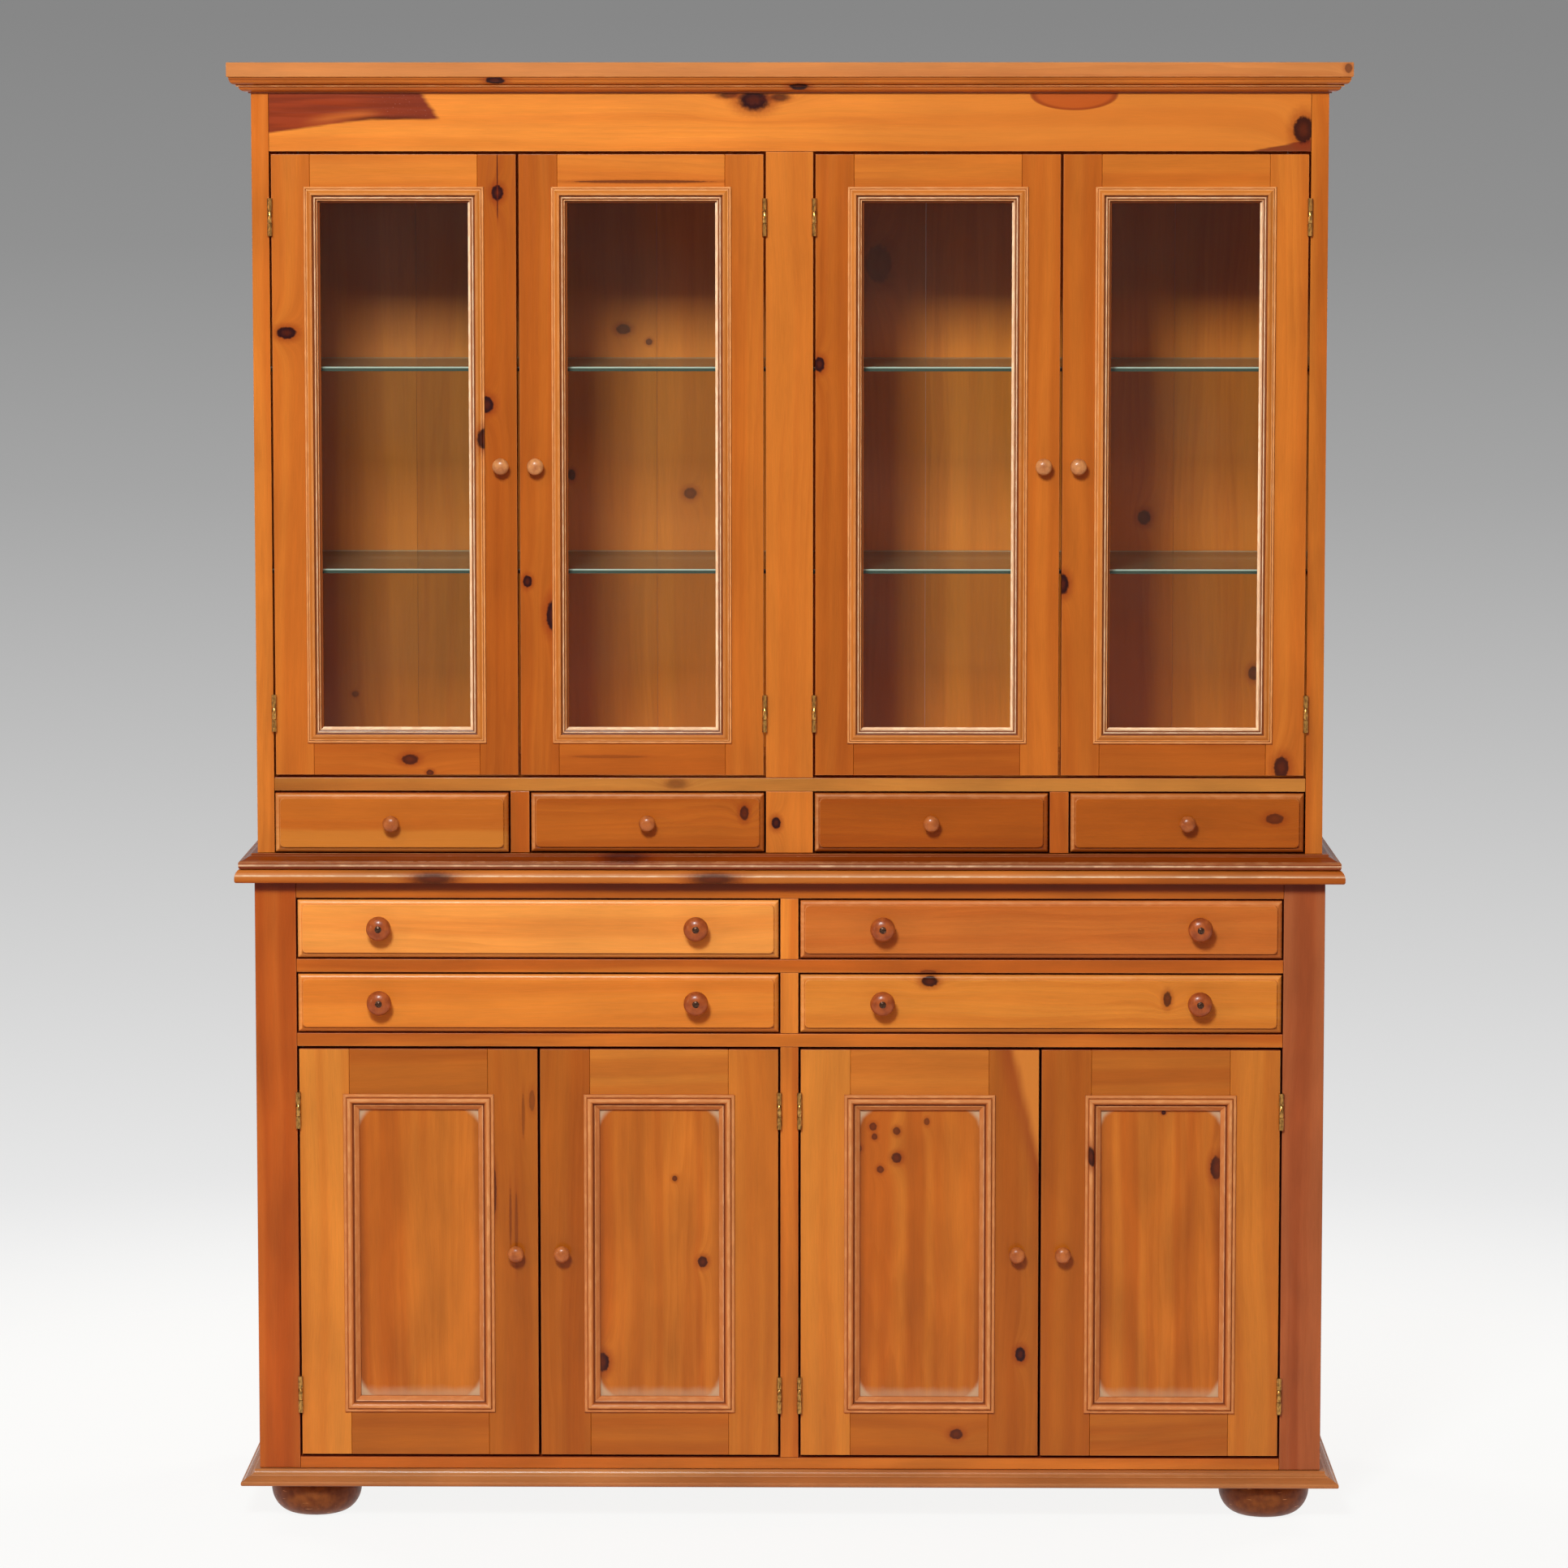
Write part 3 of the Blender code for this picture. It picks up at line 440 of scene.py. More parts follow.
def dusty_corners_and_shaded_sides(low, high):
    """Pale wax left round a panel's edge: thin along the sides and deep in the rounded corners. Painted
    shade darkens the left and right sides.
    """
    centre = [(low[0] + high[0]) / 2, (low[2] + high[2]) / 2]
    half = [(high[0] - low[0]) / 2, (high[2] - low[2]) / 2]
    curve = 0.040

    def haze(f, colour):
        x, y, z = f.place()
        front = y.rise(low[1] + 0.004, low[1] + 0.002)
        over_x = (abs(x - centre[0]) - (half[0] - curve)).at_least(0.0)
        over_z = (abs(z - centre[1]) - (half[1] - curve)).at_least(0.0)
        beyond = (over_x * over_x + over_z * over_z).root() - curve
        patch = f.noise(x * 60, z * 60, 2.0, 3.0) - 0.5
        corner = (beyond + patch * 0.006).rise(0.0005, 0.009)
        # Painted shade down the panel's left and right sides, next to the moulding
        shade = (abs(x - centre[0]) + patch * 0.004).rise(half[0] - 0.012, half[0])
        colour = f.blend(shade * (1.0 - corner) * front * 0.35, colour, linear((124, 52, 16)))
        ledge = (z + patch * 0.008).rise(low[2] + 0.016, low[2] + 0.001) * 0.4
        return f.blend((corner * 0.8).at_least(ledge) * front, colour, linear(DUST))

    return haze


# Other finishes


def turned_pine(name, tint, seed, dull=0.0):
    """Wood of a turned piece: a soft mottle and fine lines, and pale scratches where it is dull."""
    f = Finish(name)
    x, y, z = f.place()
    mottle = f.noise(x * 90, y * 90, z * 90 + seed, 3.0)
    lines = f.noise(x * 500, y * 60, z * 140 + seed, 2.0)
    darker = linear(scaled(tint, (0.80, 0.70, 0.64)))
    colour = f.blend(mottle.rise(0.3, 0.75), linear(tint), darker)
    colour = f.blend(1.0, colour, f.grey(0.86 + lines * 0.28), "MULTIPLY")
    scratch = f.noise(x * 40 + seed, y * 40, z * 420, 2.0).rise(0.70, 0.74)
    colour = f.blend(scratch * dull, colour, linear(WORN_AND_HIGHLIGHT))
    shine = 0.26 + dull * 0.2 + mottle * 0.12
    normal = f.node("ShaderNodeBump", {}, {"Strength": 0.08, "Distance": 0.0005, "Height": lines})
    coat = 0.24 - dull * 0.20
    return f.surface({"Base Color": colour, "Roughness": shine, "Normal": normal, "Coat Weight": coat,
                      "Coat Roughness": 0.17, "Specular IOR Level": 0.2})


def brass():
    """Dull old brass with darker tarnish in patches and fine rubbed lines."""
    f = Finish("hinge_brass")
    x, y, z = f.place()
    tarnish = f.noise(x * 420, y * 420, z * 160, 3.0)
    rubbed = f.noise(x * 300, y * 300, z * 2400, 2.0)
    colour = f.blend(tarnish.rise(0.35, 0.7), linear((202, 150, 78)), linear((124, 82, 38)))
    colour = f.blend(1.0, colour, f.grey(0.8 + rubbed * 0.4), "MULTIPLY")
    return f.surface({"Base Color": colour, "Roughness": 0.15 + tarnish * 0.18, "Metallic": 0.85})


def dark_screw():
    """Browned steel of the screw heads, rubbed bright in places."""
    f = Finish("browned_steel")
    x, y, z = f.place()
    rubbed = f.noise(x * 900, y * 900, z * 900, 3.0)
    colour = f.blend(rubbed.rise(0.45, 0.75), linear((58, 34, 24)), linear((132, 98, 76)))
    return f.surface({"Base Color": colour, "Roughness": 0.20 + rubbed * 0.2, "Metallic": 0.85})


def glancing(f):
    """Zero where a face is seen square on, rising to one at its rim."""
    return f.node("ShaderNodeLayerWeight", {}, {"Blend": 0.5}, output="Facing")


def on_edge(f, axis):
    """One on the narrow edges of a pane whose faces look along an axis."""
    normal = f.parts(f.node("ShaderNodeNewGeometry", output="Normal"))
    return abs(normal[axis]).rise(0.75, 0.35)


def pane_glass():
    """Thin upright glass: see-through, with a glancing shine, a trace of dust and green-grey edges."""
    f = Finish("door_glass")
    x, y, z = f.place()
    smear = f.noise(x * 7.0, y * 7.0, z * 7.0, 2.0)
    clear = f.shader("Transparent", {"Color": linear((252, 254, 253))})
    sheen = f.shader("Glossy", {"Color": linear((255, 255, 255)), "Roughness": 0.04})
    pane = f.mix(glancing(f) ** 5.0 * 0.85 + smear * 0.012 + 0.004, clear, sheen)
    pane = f.mix(smear * 0.010, pane, f.shader("Diffuse", {"Color": linear((176, 176, 160))}))
    rim = f.shader("Principled", {"Base Color": linear((150, 176, 164)), "Roughness": 0.20,
                                  "Specular IOR Level": 0.4})
    return f.show(f.mix(on_edge(f, 1), pane, rim))


def shelf_glass(name, top):
    """Lying glass: olive at a slant, with dust on it, and dark green edges with a painted highlight on top.
    """
    f = Finish(name)
    x, y, z = f.place()
    smear = f.noise(x * 7.0, y * 7.0, z * 7.0, 2.0)
    glance = glancing(f)
    slant = glance ** 5.0
    clear = f.mix(slant, f.shader("Transparent", {"Color": linear((248, 252, 249))}),
                  f.shader("Transparent", {"Color": linear((234, 237, 218))}))
    sheen = f.shader("Glossy", {"Color": linear((236, 230, 210)), "Roughness": 0.12})
    pane = f.mix(slant * 0.85 + smear * 0.012 + 0.004, clear, sheen)
    pane = f.mix(glance ** 3.0 * 0.22, pane, f.shader("Diffuse", {"Color": linear((158, 150, 116))}))
    # A painted highlight: the top of each edge is pale
    edge = f.blend(z.rise(top - 0.0024, top - 0.0012), linear((58, 72, 60)), linear((196, 208, 194)))
    rim = f.shader("Principled", {"Base Color": edge, "Roughness": 0.20, "Specular IOR Level": 0.4})
    return f.show(f.mix(on_edge(f, 2), pane, rim))


# Shapes: each is a dictionary of points, faces, and numbers for the attributes


def grid_faces(rows, columns):
    """Quads between neighbouring points of a grid, each row of which closes on itself."""
    row = np.arange(rows - 1)[:, None]
    column = np.arange(columns)[None, :]
    following = (column + 1) % columns
    quads = np.stack(np.broadcast_arrays(row * columns + column, row * columns + following,
                                         (row + 1) * columns + following, (row + 1) * columns + column), -1)
    return quads.reshape(-1, 4)


def tube_faces(rows, columns):
    """The quads of a grid, and a face that closes each end."""
    caps = [list(range(columns - 1, -1, -1)), list(range((rows - 1) * columns, rows * columns))]
    return grid_faces(rows, columns).tolist() + caps


def rounded_section(half, radius, inset):
    """A rectangle with quarter-round corners: each corner's centre plus a turning radius, less an inset."""
    turn = np.linspace(0, np.pi / 2, 4)[None, :] + np.arange(4)[:, None] * np.pi / 2
    sign = np.array([[1, 1], [-1, 1], [-1, -1], [1, -1]])[:, None, :]
    inner = np.maximum(radius - inset, 0.00005)
    middle = sign * (np.asarray(half) - inset - inner)
    return (middle + inner * np.stack([np.cos(turn), np.sin(turn)], -1)).reshape(-1, 2)


# Strips of a board's section at its lower and upper narrow side: the side with its steep rounding, the
# slanting rounding, and the rounding next to the front
SIDE_STRIPS = {("X", "low"): ((10, 11, 12), (9, 13), (8,)), ("X", "high"): ((2, 3, 4), (1, 5), (6,)),
               ("Z", "low"): ((6, 7, 8), (5, 9), (10,)), ("Z", "high"): ((14, 15, 0), (1, 13), (12,))}
END_ROWS = {"start": (0, 1, 2), "stop": (6, 5, 4)}
# Painted shade on a board's strips in a gap: deep on the side, lighter on the slanting rounding; the
# rounding next to the front gets pale wear and painted highlight
GAP_SHADE_AND_WEAR = (DEEP_PAINTED_SHADE, -0.72, 1.0)


def board_shape(low, high, along, ease=0.0009, gaps=()):
    """A board: the rounded section carried along the grain, drawn in at both ends by a quarter round.

    Gaps names the sides and ends that face a gap: low, high, start or stop. They get painted shade, deep on
    the faces in the gap and lighter on the slanting rounding, and a pale line of wear and painted highlight
    on the rounding next to the front.
    """
    low, high = np.array(low, float), np.array(high, float)
    axis = "XYZ".index(along)
    first, second = (axis + 1) % 3, (axis + 2) % 3
    half = ((high - low) / 2)[[first, second]]
    middle = ((high + low) / 2)[[first, second]]
    turn = np.linspace(np.pi / 2, 0, 4)
    drawn_in = ease * (1 - np.sin(turn))
    steps = np.concatenate([low[axis] + drawn_in, high[axis] - drawn_in[::-1]])
    insets = ease * (1 - np.cos(np.concatenate([turn, turn[::-1]])))
    sections = np.stack([rounded_section(half, ease, inset) for inset in insets])
    points = np.empty((len(steps), 16, 3))
    points[:, :, first] = sections[:, :, 0] + middle[0]
    points[:, :, second] = sections[:, :, 1] + middle[1]
    points[:, :, axis] = steps[:, None]
    row, strip = np.divmod(np.arange((len(steps) - 1) * 16), 16)
    edge = np.zeros(len(row))
    for gap in gaps:
        if gap in END_ROWS:
            for end_row, wear_and_light in zip(END_ROWS[gap], GAP_SHADE_AND_WEAR):
                edge[row == end_row] = wear_and_light
        else:
            for strips, wear_and_light in zip(SIDE_STRIPS[along, gap], GAP_SHADE_AND_WEAR):
                edge[np.isin(strip, strips)] = wear_and_light
    ends = [DEEP_PAINTED_SHADE if gap in gaps else 0.0 for gap in END_ROWS]
    return {"points": points.reshape(-1, 3), "faces": tube_faces(len(steps), 16),
            "edge": np.concatenate([edge, ends]), "smooth": False}


def together(shapes):
    """Several closed shapes in one mesh, such as the boards of a drawer's tray."""
    points, faces, edge, grain = [], [], [], []
    start = 0
    for shape in shapes:
        points.append(shape["points"])
        faces += [[index + start for index in face] for face in shape["faces"]]
        edge.append(shape["edge"])
        if "grain" in shape:
            grain.append(shape["grain"])
        start += len(shape["points"])
    whole = {"points": np.concatenate(points), "faces": faces, "edge": np.concatenate(edge),
             "smooth": shapes[0]["smooth"]}
    if grain:
        whole["grain"] = np.concatenate(grain)
    return whole


def turned_shape(profile, base, direction, sides=40):
    """A surface of revolution: the profile's radius swung round an axis, its height along the direction."""
    profile = np.array(profile, float)
    direction = np.array(direction, float)
    aside = np.array([1.0, 0.0, 0.0]) if abs(direction[0]) < 0.5 else np.array([0.0, 1.0, 0.0])
    up = np.cross(direction, aside)
    turn = np.arange(sides) / sides * 2 * np.pi
    spoke = np.cos(turn)[:, None] * aside + np.sin(turn)[:, None] * up
    inner = profile[1:-1]
    rings = np.array(base) + inner[:, 1, None, None] * direction + inner[:, 0, None, None] * spoke[None]
    poles = np.array(base) + profile[[0, -1], 1, None] * direction
    points = np.concatenate([rings.reshape(-1, 3), poles])
    quads = grid_faces(len(inner), sides)
    index = np.arange(sides)
    following = (index + 1) % sides
    last = (len(inner) - 1) * sides
    first_pole, last_pole = len(points) - 2, len(points) - 1
    opening = np.stack([following, index, np.full(sides, first_pole)], -1)
    closing = np.stack([last + index, last + following, np.full(sides, last_pole)], -1)
    faces = quads.tolist() + opening.tolist() + closing.tolist()
    return {"points": points, "faces": faces, "edge": np.zeros(len(faces)), "smooth": True}


def swept_shape(stations, wear_and_light, run, cross):
    """A closed profile carried through a few stations, with its wear and the grain's coordinates."""
    stations = np.asarray(stations)
    count, size = stations.shape[:2]
    faces = tube_faces(count, size)
    edge = np.concatenate([np.tile(np.asarray(wear_and_light, float), count - 1), [0.0, 0.0]])
    along = np.repeat(np.asarray(run, float), size)
    round_it = np.tile(np.asarray(cross, float), count)
    order = np.concatenate(faces)
    return {"points": stations.reshape(-1, 3), "faces": faces, "edge": edge, "smooth": False,
            "grain": np.stack([along[order], round_it[order]], -1)}


def profile_length(profile):
    """Distance along a profile to each of its points."""
    steps = np.linalg.norm(np.diff(profile, axis=0), axis=1)
    return np.concatenate([[0.0], np.cumsum(steps)])


def grain_start(seed, side):
    """Where the grain begins on one side of a door's moulding, along it and across it."""
    return seed * 3.1 + side * 1.7, side * 0.4


def framed_moulding(low, high, profile, wear_and_light, seed):
    """Four mitred lengths round a rectangle; a profile point is an inset and a height off the face."""
    profile = np.array(profile, float)
    corners = np.array([[low[0], low[1]], [high[0], low[1]], [high[0], high[1]], [low[0], high[1]]])
    inward = np.array([[1, 1], [-1, 1], [-1, -1], [1, -1]])
    lengths = []
    for side in range(4):
        ends = [side, (side + 1) % 4]
        flat = corners[ends][:, None, :] + inward[ends][:, None, :] * profile[None, :, 0, None]
        along = corners[ends[1]] - corners[ends[0]]
        length = np.linalg.norm(along)
        flat[0] += along / length * HAIR / 2
        flat[1] -= along / length * HAIR / 2
        depth = np.broadcast_to(FACE_Y - profile[:, 1], flat.shape[:2])
        # Pale wear and painted highlight scaled by side; the ledge gets a painted highlight on the bottom
        # and right and painted shade on the top and left
        rubbed = np.where(wear_and_light > 0, wear_and_light * SIDE_WEAR_AND_LIGHT[side], wear_and_light)
        rubbed[wear_and_light == LEDGE] = LEDGE_LIGHT_AND_SHADE[side]
        start, aside = grain_start(seed, side)
        lengths.append(swept_shape(np.stack([flat[..., 0], depth, flat[..., 1]], -1), rubbed,
                                   [start, start + length], profile_length(profile) + aside))
    return together(lengths)


def three_sides(half, back, profile):
    """A profile of reach and height at a board's corners, from rear left by the front to rear right."""
    reach, height = np.array(profile, float).T
    left, right = -half - reach, half + reach
    front, rear = FACE_Y - reach, np.full_like(reach, back)
    corners = ((left, rear), (left, front), (right, front), (right, rear))
    return np.stack([np.stack([x, y, height], -1) for x, y in corners])


def edge_moulding(half, back, profile, wear_and_light):
    """A closed profile, mitred round the left side, the front and the right side."""
    depth = back - FACE_Y
    run = np.cumsum([0.0, depth, 2 * half, depth])
    return swept_shape(three_sides(half, back, profile), wear_and_light, run, profile_length(profile))


def moulded_board(half, back, profile, wear_and_light):
    """A board with shaped left, front and right edges: a rectangle for each profile point, upwards."""
    loops = three_sides(half, back, profile).swapaxes(0, 1)
    edge = np.concatenate([np.repeat(np.asarray(wear_and_light[:len(profile) - 1], float), 4), [0.0, 0.0]])
    return {"points": loops.reshape(-1, 3), "faces": tube_faces(len(profile), 4), "edge": edge,
            "smooth": False}


# Painted light in the groove round a drawer front, in the order below: a painted highlight where it faces
# up, painted shade where it faces down
GROOVE_LIGHT_AND_SHADE = (0.2, 0.3, 0.5, 0.6, 0.5, 0.3, 0.1, -0.1, -0.3, -0.5, -0.6, -0.7, -0.7, -0.6, -0.4, -0.3)
# How far the pale wear and painted highlight show round a drawer front: top right corner, top, top left,
# left, then bottom left, bottom, bottom right and right, where below zero they turn to painted shade
FRONT_WEAR_AND_LIGHT = (0.4, 0.5, 0.7, 0.8, 0.9, 1.0, 1.0, 1.0, 0.7, 0.3, 0.0, -0.5, -0.4, -0.4, -0.3, -0.3)


def fielded_front(low, high, steps, wear_and_light, grooves):
    """A drawer front: rounded rectangles drawn in step by step, closed by the flat field.

    A step is an inset, a depth and a corner radius. Grooves are the numbers of the groove's steps.
    """
    middle = (np.array(low) + np.array(high)) / 2
    half = (np.array(high) - np.array(low)) / 2
    loops = []
    for inset, depth, corner in steps:
        section = rounded_section(half - inset, corner, 0.0) + middle
        loops.append(np.stack([section[:, 0], np.full(16, depth), section[:, 1]], -1))
    level, strip = np.divmod(np.arange((len(steps) - 1) * 16), 16)
    edge = np.asarray(wear_and_light, float)[level]
    # Pale wear and painted highlight on the top and left, painted shade on the bottom and right; the groove
    # gets its own painted light
    edge = np.where(edge > 0, edge * np.array(FRONT_WEAR_AND_LIGHT)[strip], edge)
    edge = np.where(np.isin(level, grooves), np.array(GROOVE_LIGHT_AND_SHADE)[strip], edge)
    return {"points": np.concatenate(loops), "faces": tube_faces(len(steps), 16),
            "edge": np.concatenate([edge, [0.0, 0.0]]), "smooth": False}


def piece(name, shape, material, body, slot, *nodes):
    """Puts a shape into a mesh that rides on a body, and may stand for CAD nodes."""
    mesh = bpy.data.meshes.new(name)
    mesh.from_pydata(shape["points"].tolist(), [], shape["faces"])
    edge = mesh.attributes.new("edge", "FLOAT", "FACE")
    edge.data.foreach_set("value", np.asarray(shape["edge"], np.float32))
    if "grain" in shape:
        layer = mesh.uv_layers.new(name="grain")
        layer.data.foreach_set("uv", np.asarray(shape["grain"], np.float32).ravel())
    mesh.polygons.foreach_set("use_smooth", np.full(len(mesh.polygons), shape["smooth"]))
    mesh.materials.append(material)
    mesh.update()
    made = bpy.data.objects.new(name, mesh)
    bpy.context.scene.collection.objects.link(made)
    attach(made, body)
    if nodes:
        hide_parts(*nodes)
    return made


def wear(node, material):
    """Gives a CAD node that is kept its finish."""
    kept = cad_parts[node]
    kept.data.materials.clear()
    kept.data.materials.append(material)


# Camera, light and stage

camera = bpy.data.objects.new("camera", bpy.data.cameras.new("camera"))
bpy.context.scene.collection.objects.link(camera)
camera.location = (0.081, -8.235, 1.852)
camera.rotation_euler = Euler((math.radians(90 - 5.969), 0.0, math.radians(0.631)))
camera.data.sensor_width = 36.0
camera.data.lens = 137.06
camera.data.clip_end = 200.0
bpy.context.scene.camera = camera
bpy.context.scene.view_settings.view_transform = "Standard"


def lamp(name, place, target, size, power, warmth=(1.0, 1.0, 1.0)):
    """A square soft box at a place, facing a target."""
    light = bpy.data.lights.new(name, "AREA")
    light.size = size
    light.energy = power
    light.color = warmth
    made = bpy.data.objects.new(name, light)
    bpy.context.scene.collection.objects.link(made)
    made.location = place
    away = np.array(place) - np.array(target)
    flat = math.hypot(away[0], away[1])
    made.rotation_euler = Euler((math.atan2(flat, away[2]), 0.0, math.atan2(away[0], -away[1])))


# The fill is warm, as light thrown back by the wood is, so shadows and gaps turn red
FILL = (1.0, 0.63, 0.44)
lamp("main_light", (-0.85, -5.0, 3.75), (0.0, 0.0, 1.1), 0.95, 248.0, (0.83, 0.96, 1.0))
lamp("high_light", (-2.45, -4.1, 4.9), (0.0, 0.0, 1.0), 0.7, 30.0, FILL)
lamp("left_light", (-4.6, -3.9, 1.5), (0.0, 0.0, 1.0), 0.9, 30.0, FILL)
lamp("fill_light", (3.5, -5.0, 2.2), (0.0, 0.0, 1.0), 2.5, 13.0, FILL)
lamp("back_left_light", (-3.6, 4.2, 3.0), (0.0, 0.0, 1.0), 2.0, 150.0, (1.0, 0.97, 0.93))
lamp("back_right_light", (3.6, 4.2, 3.0), (0.0, 0.0, 1.0), 2.0, 150.0, (1.0, 0.97, 0.93))
lamp("front_light", (0.3, -7.0, 4.3), (0.0, 0.0, 1.1), 1.4, 50.0, FILL)

# The sky is a grey that pales downwards to white where the camera looks, and a dim even light otherwise
SKY_STOPS = ((-0.235, 253), (-0.2154, 250), (-0.1757, 234.5), (-0.1355, 213), (-0.0951, 190), (-0.0544, 165),
             (-0.0138, 145), (0.0236, 135))
SKY_LIGHT = 0.10


def sky():
    """The world: the grey backdrop where it is seen, and the dim light otherwise."""
    world = bpy.data.worlds.new("studio")
    bpy.context.scene.world = world
    f = Finish("studio", world)
    up = f.parts(f.node("ShaderNodeTexCoord", output="Generated"))[2]
    low, high = SKY_STOPS[0][0], SKY_STOPS[-1][0]
    ramp = f.node("ShaderNodeValToRGB", {}, {"Fac": (up - low) / (high - low)})
    stops = ramp.socket.node.color_ramp.elements
    while len(stops) < len(SKY_STOPS):
        stops.new(0.5)
    for stop, (height, grey) in zip(stops, SKY_STOPS):
        stop.position = (height - low) / (high - low)
        stop.color = linear((grey, grey, grey))
    seen = f.seen()
    backdrop = f.node("ShaderNodeBackground", {}, {"Color": ramp, "Strength": 1.0})
    light = f.node("ShaderNodeBackground", {}, {"Color": (*FILL, 1.0), "Strength": SKY_LIGHT})
    f.show(f.mix(seen, light, backdrop))


def floor():
    """A round pale floor that fades out: it keeps the shadow and joins the backdrop without a line."""
    turn = np.arange(96) / 96 * 2 * np.pi
    rim = np.stack([np.cos(turn), np.sin(turn), np.zeros(96)], -1)
    rings = np.concatenate([rim * radius for radius in (0.6, 1.4, 3.2)])
    quads = grid_faces(3, 96)
    mesh = bpy.data.meshes.new("studio_floor")
    mesh.from_pydata((rings - [0, 0, 0.0004]).tolist(), [], [list(range(96))] + quads[:, ::-1].tolist())
    f = Finish("pale_floor")
    x, y, _ = f.place()
    fade = (x * x + y * y).root().rise(1.1, 2.9)
    seen = f.seen()
    shown = f.blend(seen, linear((222, 192, 168)), linear((250, 250, 248)))
    matt = f.shader("Diffuse", {"Color": shown})
    white = f.node("ShaderNodeEmission", {}, {"Color": linear((253, 253, 252)), "Strength": 1.0})
    pale = f.mix(seen * 0.90, matt, white)
    mesh.materials.append(f.show(f.mix(fade, pale, f.shader("Transparent"))))
    made = bpy.data.objects.new("studio_floor", mesh)
    bpy.context.scene.collection.objects.link(made)


sky()
floor()

# Face frames: each rail and stile is a board of its own


def frame_board(name, x, z, along, tint, seed, knots=(), gaps=("low", "high"), **look):
    """One rail or stile between two x and two z."""
    low = (x[0] + HAIR / 2, FACE_Y, z[0] + HAIR / 2)
    high = (x[1] - HAIR / 2, FACE_Y + FRAME_BOARD, z[1] - HAIR / 2)
    finish = pine(name + "_pine", along, tint, seed, knots, **look)
    return piece(name, board_shape(low, high, along, gaps=gaps), finish, "carcass", "carcass_pine")


def hutch_frame():
    """The frieze, the centre stile, the drawer rail and the dividers between the small drawers."""
    inside = HUTCH_INSIDE - 0.0003
    knots = ((-0.081, 1.938, 0.014, 0.004, 0.8, 0.5), (-0.047, 1.931, 0.020, 0.013, 1.0, 0.3),
             (-0.013, 1.935, 0.012, 0.005, 0.8, 0.5), (0.686, 1.892, 0.013, 0.018, 0.95))
    frieze = frame_board("frieze", (-inside, inside), (FRIEZE_Z, CORNICE_Z), "X", tone(0.15), 1.1, knots,
                         blotch=heartwood_corner, calm=0.55, gaps=("low",))
    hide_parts("hutch_face_frame")
    frame_board("hutch_centre_stile", (-HUTCH_CENTRE, HUTCH_CENTRE), (HUTCH_DOOR_Z, FRIEZE_Z), "Z",
                tone(0.43), 2.3, calm=0.45)
    frame_board("hutch_drawer_rail", (-inside, inside), (HUTCH_RAIL_Z, HUTCH_DOOR_Z), "X", (193, 127, 58),
                3.7, ((-0.153, 1.013, 0.013, 0.006, 0.45, 0.6),))
    dividers = ((-DRAWER_DIVIDER_X, DRAWER_DIVIDER, 0.6), (0.0, HUTCH_CENTRE, 0.45),
                (DRAWER_DIVIDER_X, DRAWER_DIVIDER, 0.6))
    for number, (x, half, level) in enumerate(dividers, start=1):
        knots = ((0.960, -0.018 + FACE_Y, 0.008, 0.006),) if number == 2 else ()
        frame_board(f"hutch_drawer_divider_{number}", (x - half, x + half), (HUTCH_DRAWER_Z, HUTCH_RAIL_Z),
                    "Z", tone(level), 4.1 + number, knots)


def buffet_frame():
    """The corner stiles, four rails across the whole width and the centre stile between them."""
    near, far = BUFFET_BAY
    tall = (CARCASS_Z, BUFFET_TOP_Z)
    left = frame_board("buffet_corner_stile_left", (-BUFFET_HALF, -far), tall, "Z", (188, 98, 38), 5.2,
                       gaps=("high",), haze=painted_shadow_under_top)
    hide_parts("buffet_face_frame")
    # The right corner stile's greyer tint paints in the sheen that lies over it
    frame_board("buffet_corner_stile_right", (far, BUFFET_HALF), tall, "Z", (172, 96, 56), 5.9,
                gaps=("low",), haze=painted_shadow_under_top)
    rails = (("top", TOP_RAIL_Z, BUFFET_TOP_Z, 0.62), ("middle", MIDDLE_RAIL_Z, UPPER_DRAWER_Z, 0.50),
             ("lower", LOWER_RAIL_Z, LOWER_DRAWER_Z, 0.54), ("bottom", CARCASS_Z, BUFFET_DOOR_Z, 0.42))
    for number, (name, low, high, level) in enumerate(rails):
        knots = ((0.188, 0.757, 0.011, 0.003, 0.5),) if name == "middle" else ()
        gaps = {"top": ("low",), "bottom": ("high",)}.get(name, ("low", "high"))
        frame_board(f"buffet_{name}_rail", (-far, far), (low, high), "X", tone(level), 6.3 + number, knots,
                    gaps, haze=painted_shadow_under_top if name == "top" else None)
    spans = (("lower", BUFFET_DOOR_Z, LOWER_RAIL_Z, 0.48),
             ("drawer_lower", LOWER_DRAWER_Z, MIDDLE_RAIL_Z, 0.24),
             ("drawer_upper", UPPER_DRAWER_Z, TOP_RAIL_Z, 0.13))
    for number, (name, low, high, level) in enumerate(spans):
        frame_board(f"buffet_centre_stile_{name}", (-near, near), (low, high), "Z", tone(level),
                    7.4 + number)


hutch_frame()
buffet_frame()

# Cornice, moulded boards and feet


def curve(start, end, bulge, count=6):
    """Points of a quarter ellipse between two corners; a bulge of 1 swells out and of -1 hollows in."""
    turn = np.linspace(0, np.pi / 2, count)
    start, end = np.array(start), np.array(end)
    across = np.sin(turn) if bulge > 0 else 1 - np.cos(turn)
    down = 1 - np.cos(turn) if bulge > 0 else np.sin(turn)
    return (start + (end - start) * np.stack([across, down], -1)).tolist()


def edged_board(name, node, half, back, profile, wear_and_light, finish):
    """A board with shaped edges, in place of a CAD node."""
    piece(name, moulded_board(half, back, profile, wear_and_light), finish, "carcass", "moulded_pine", node)


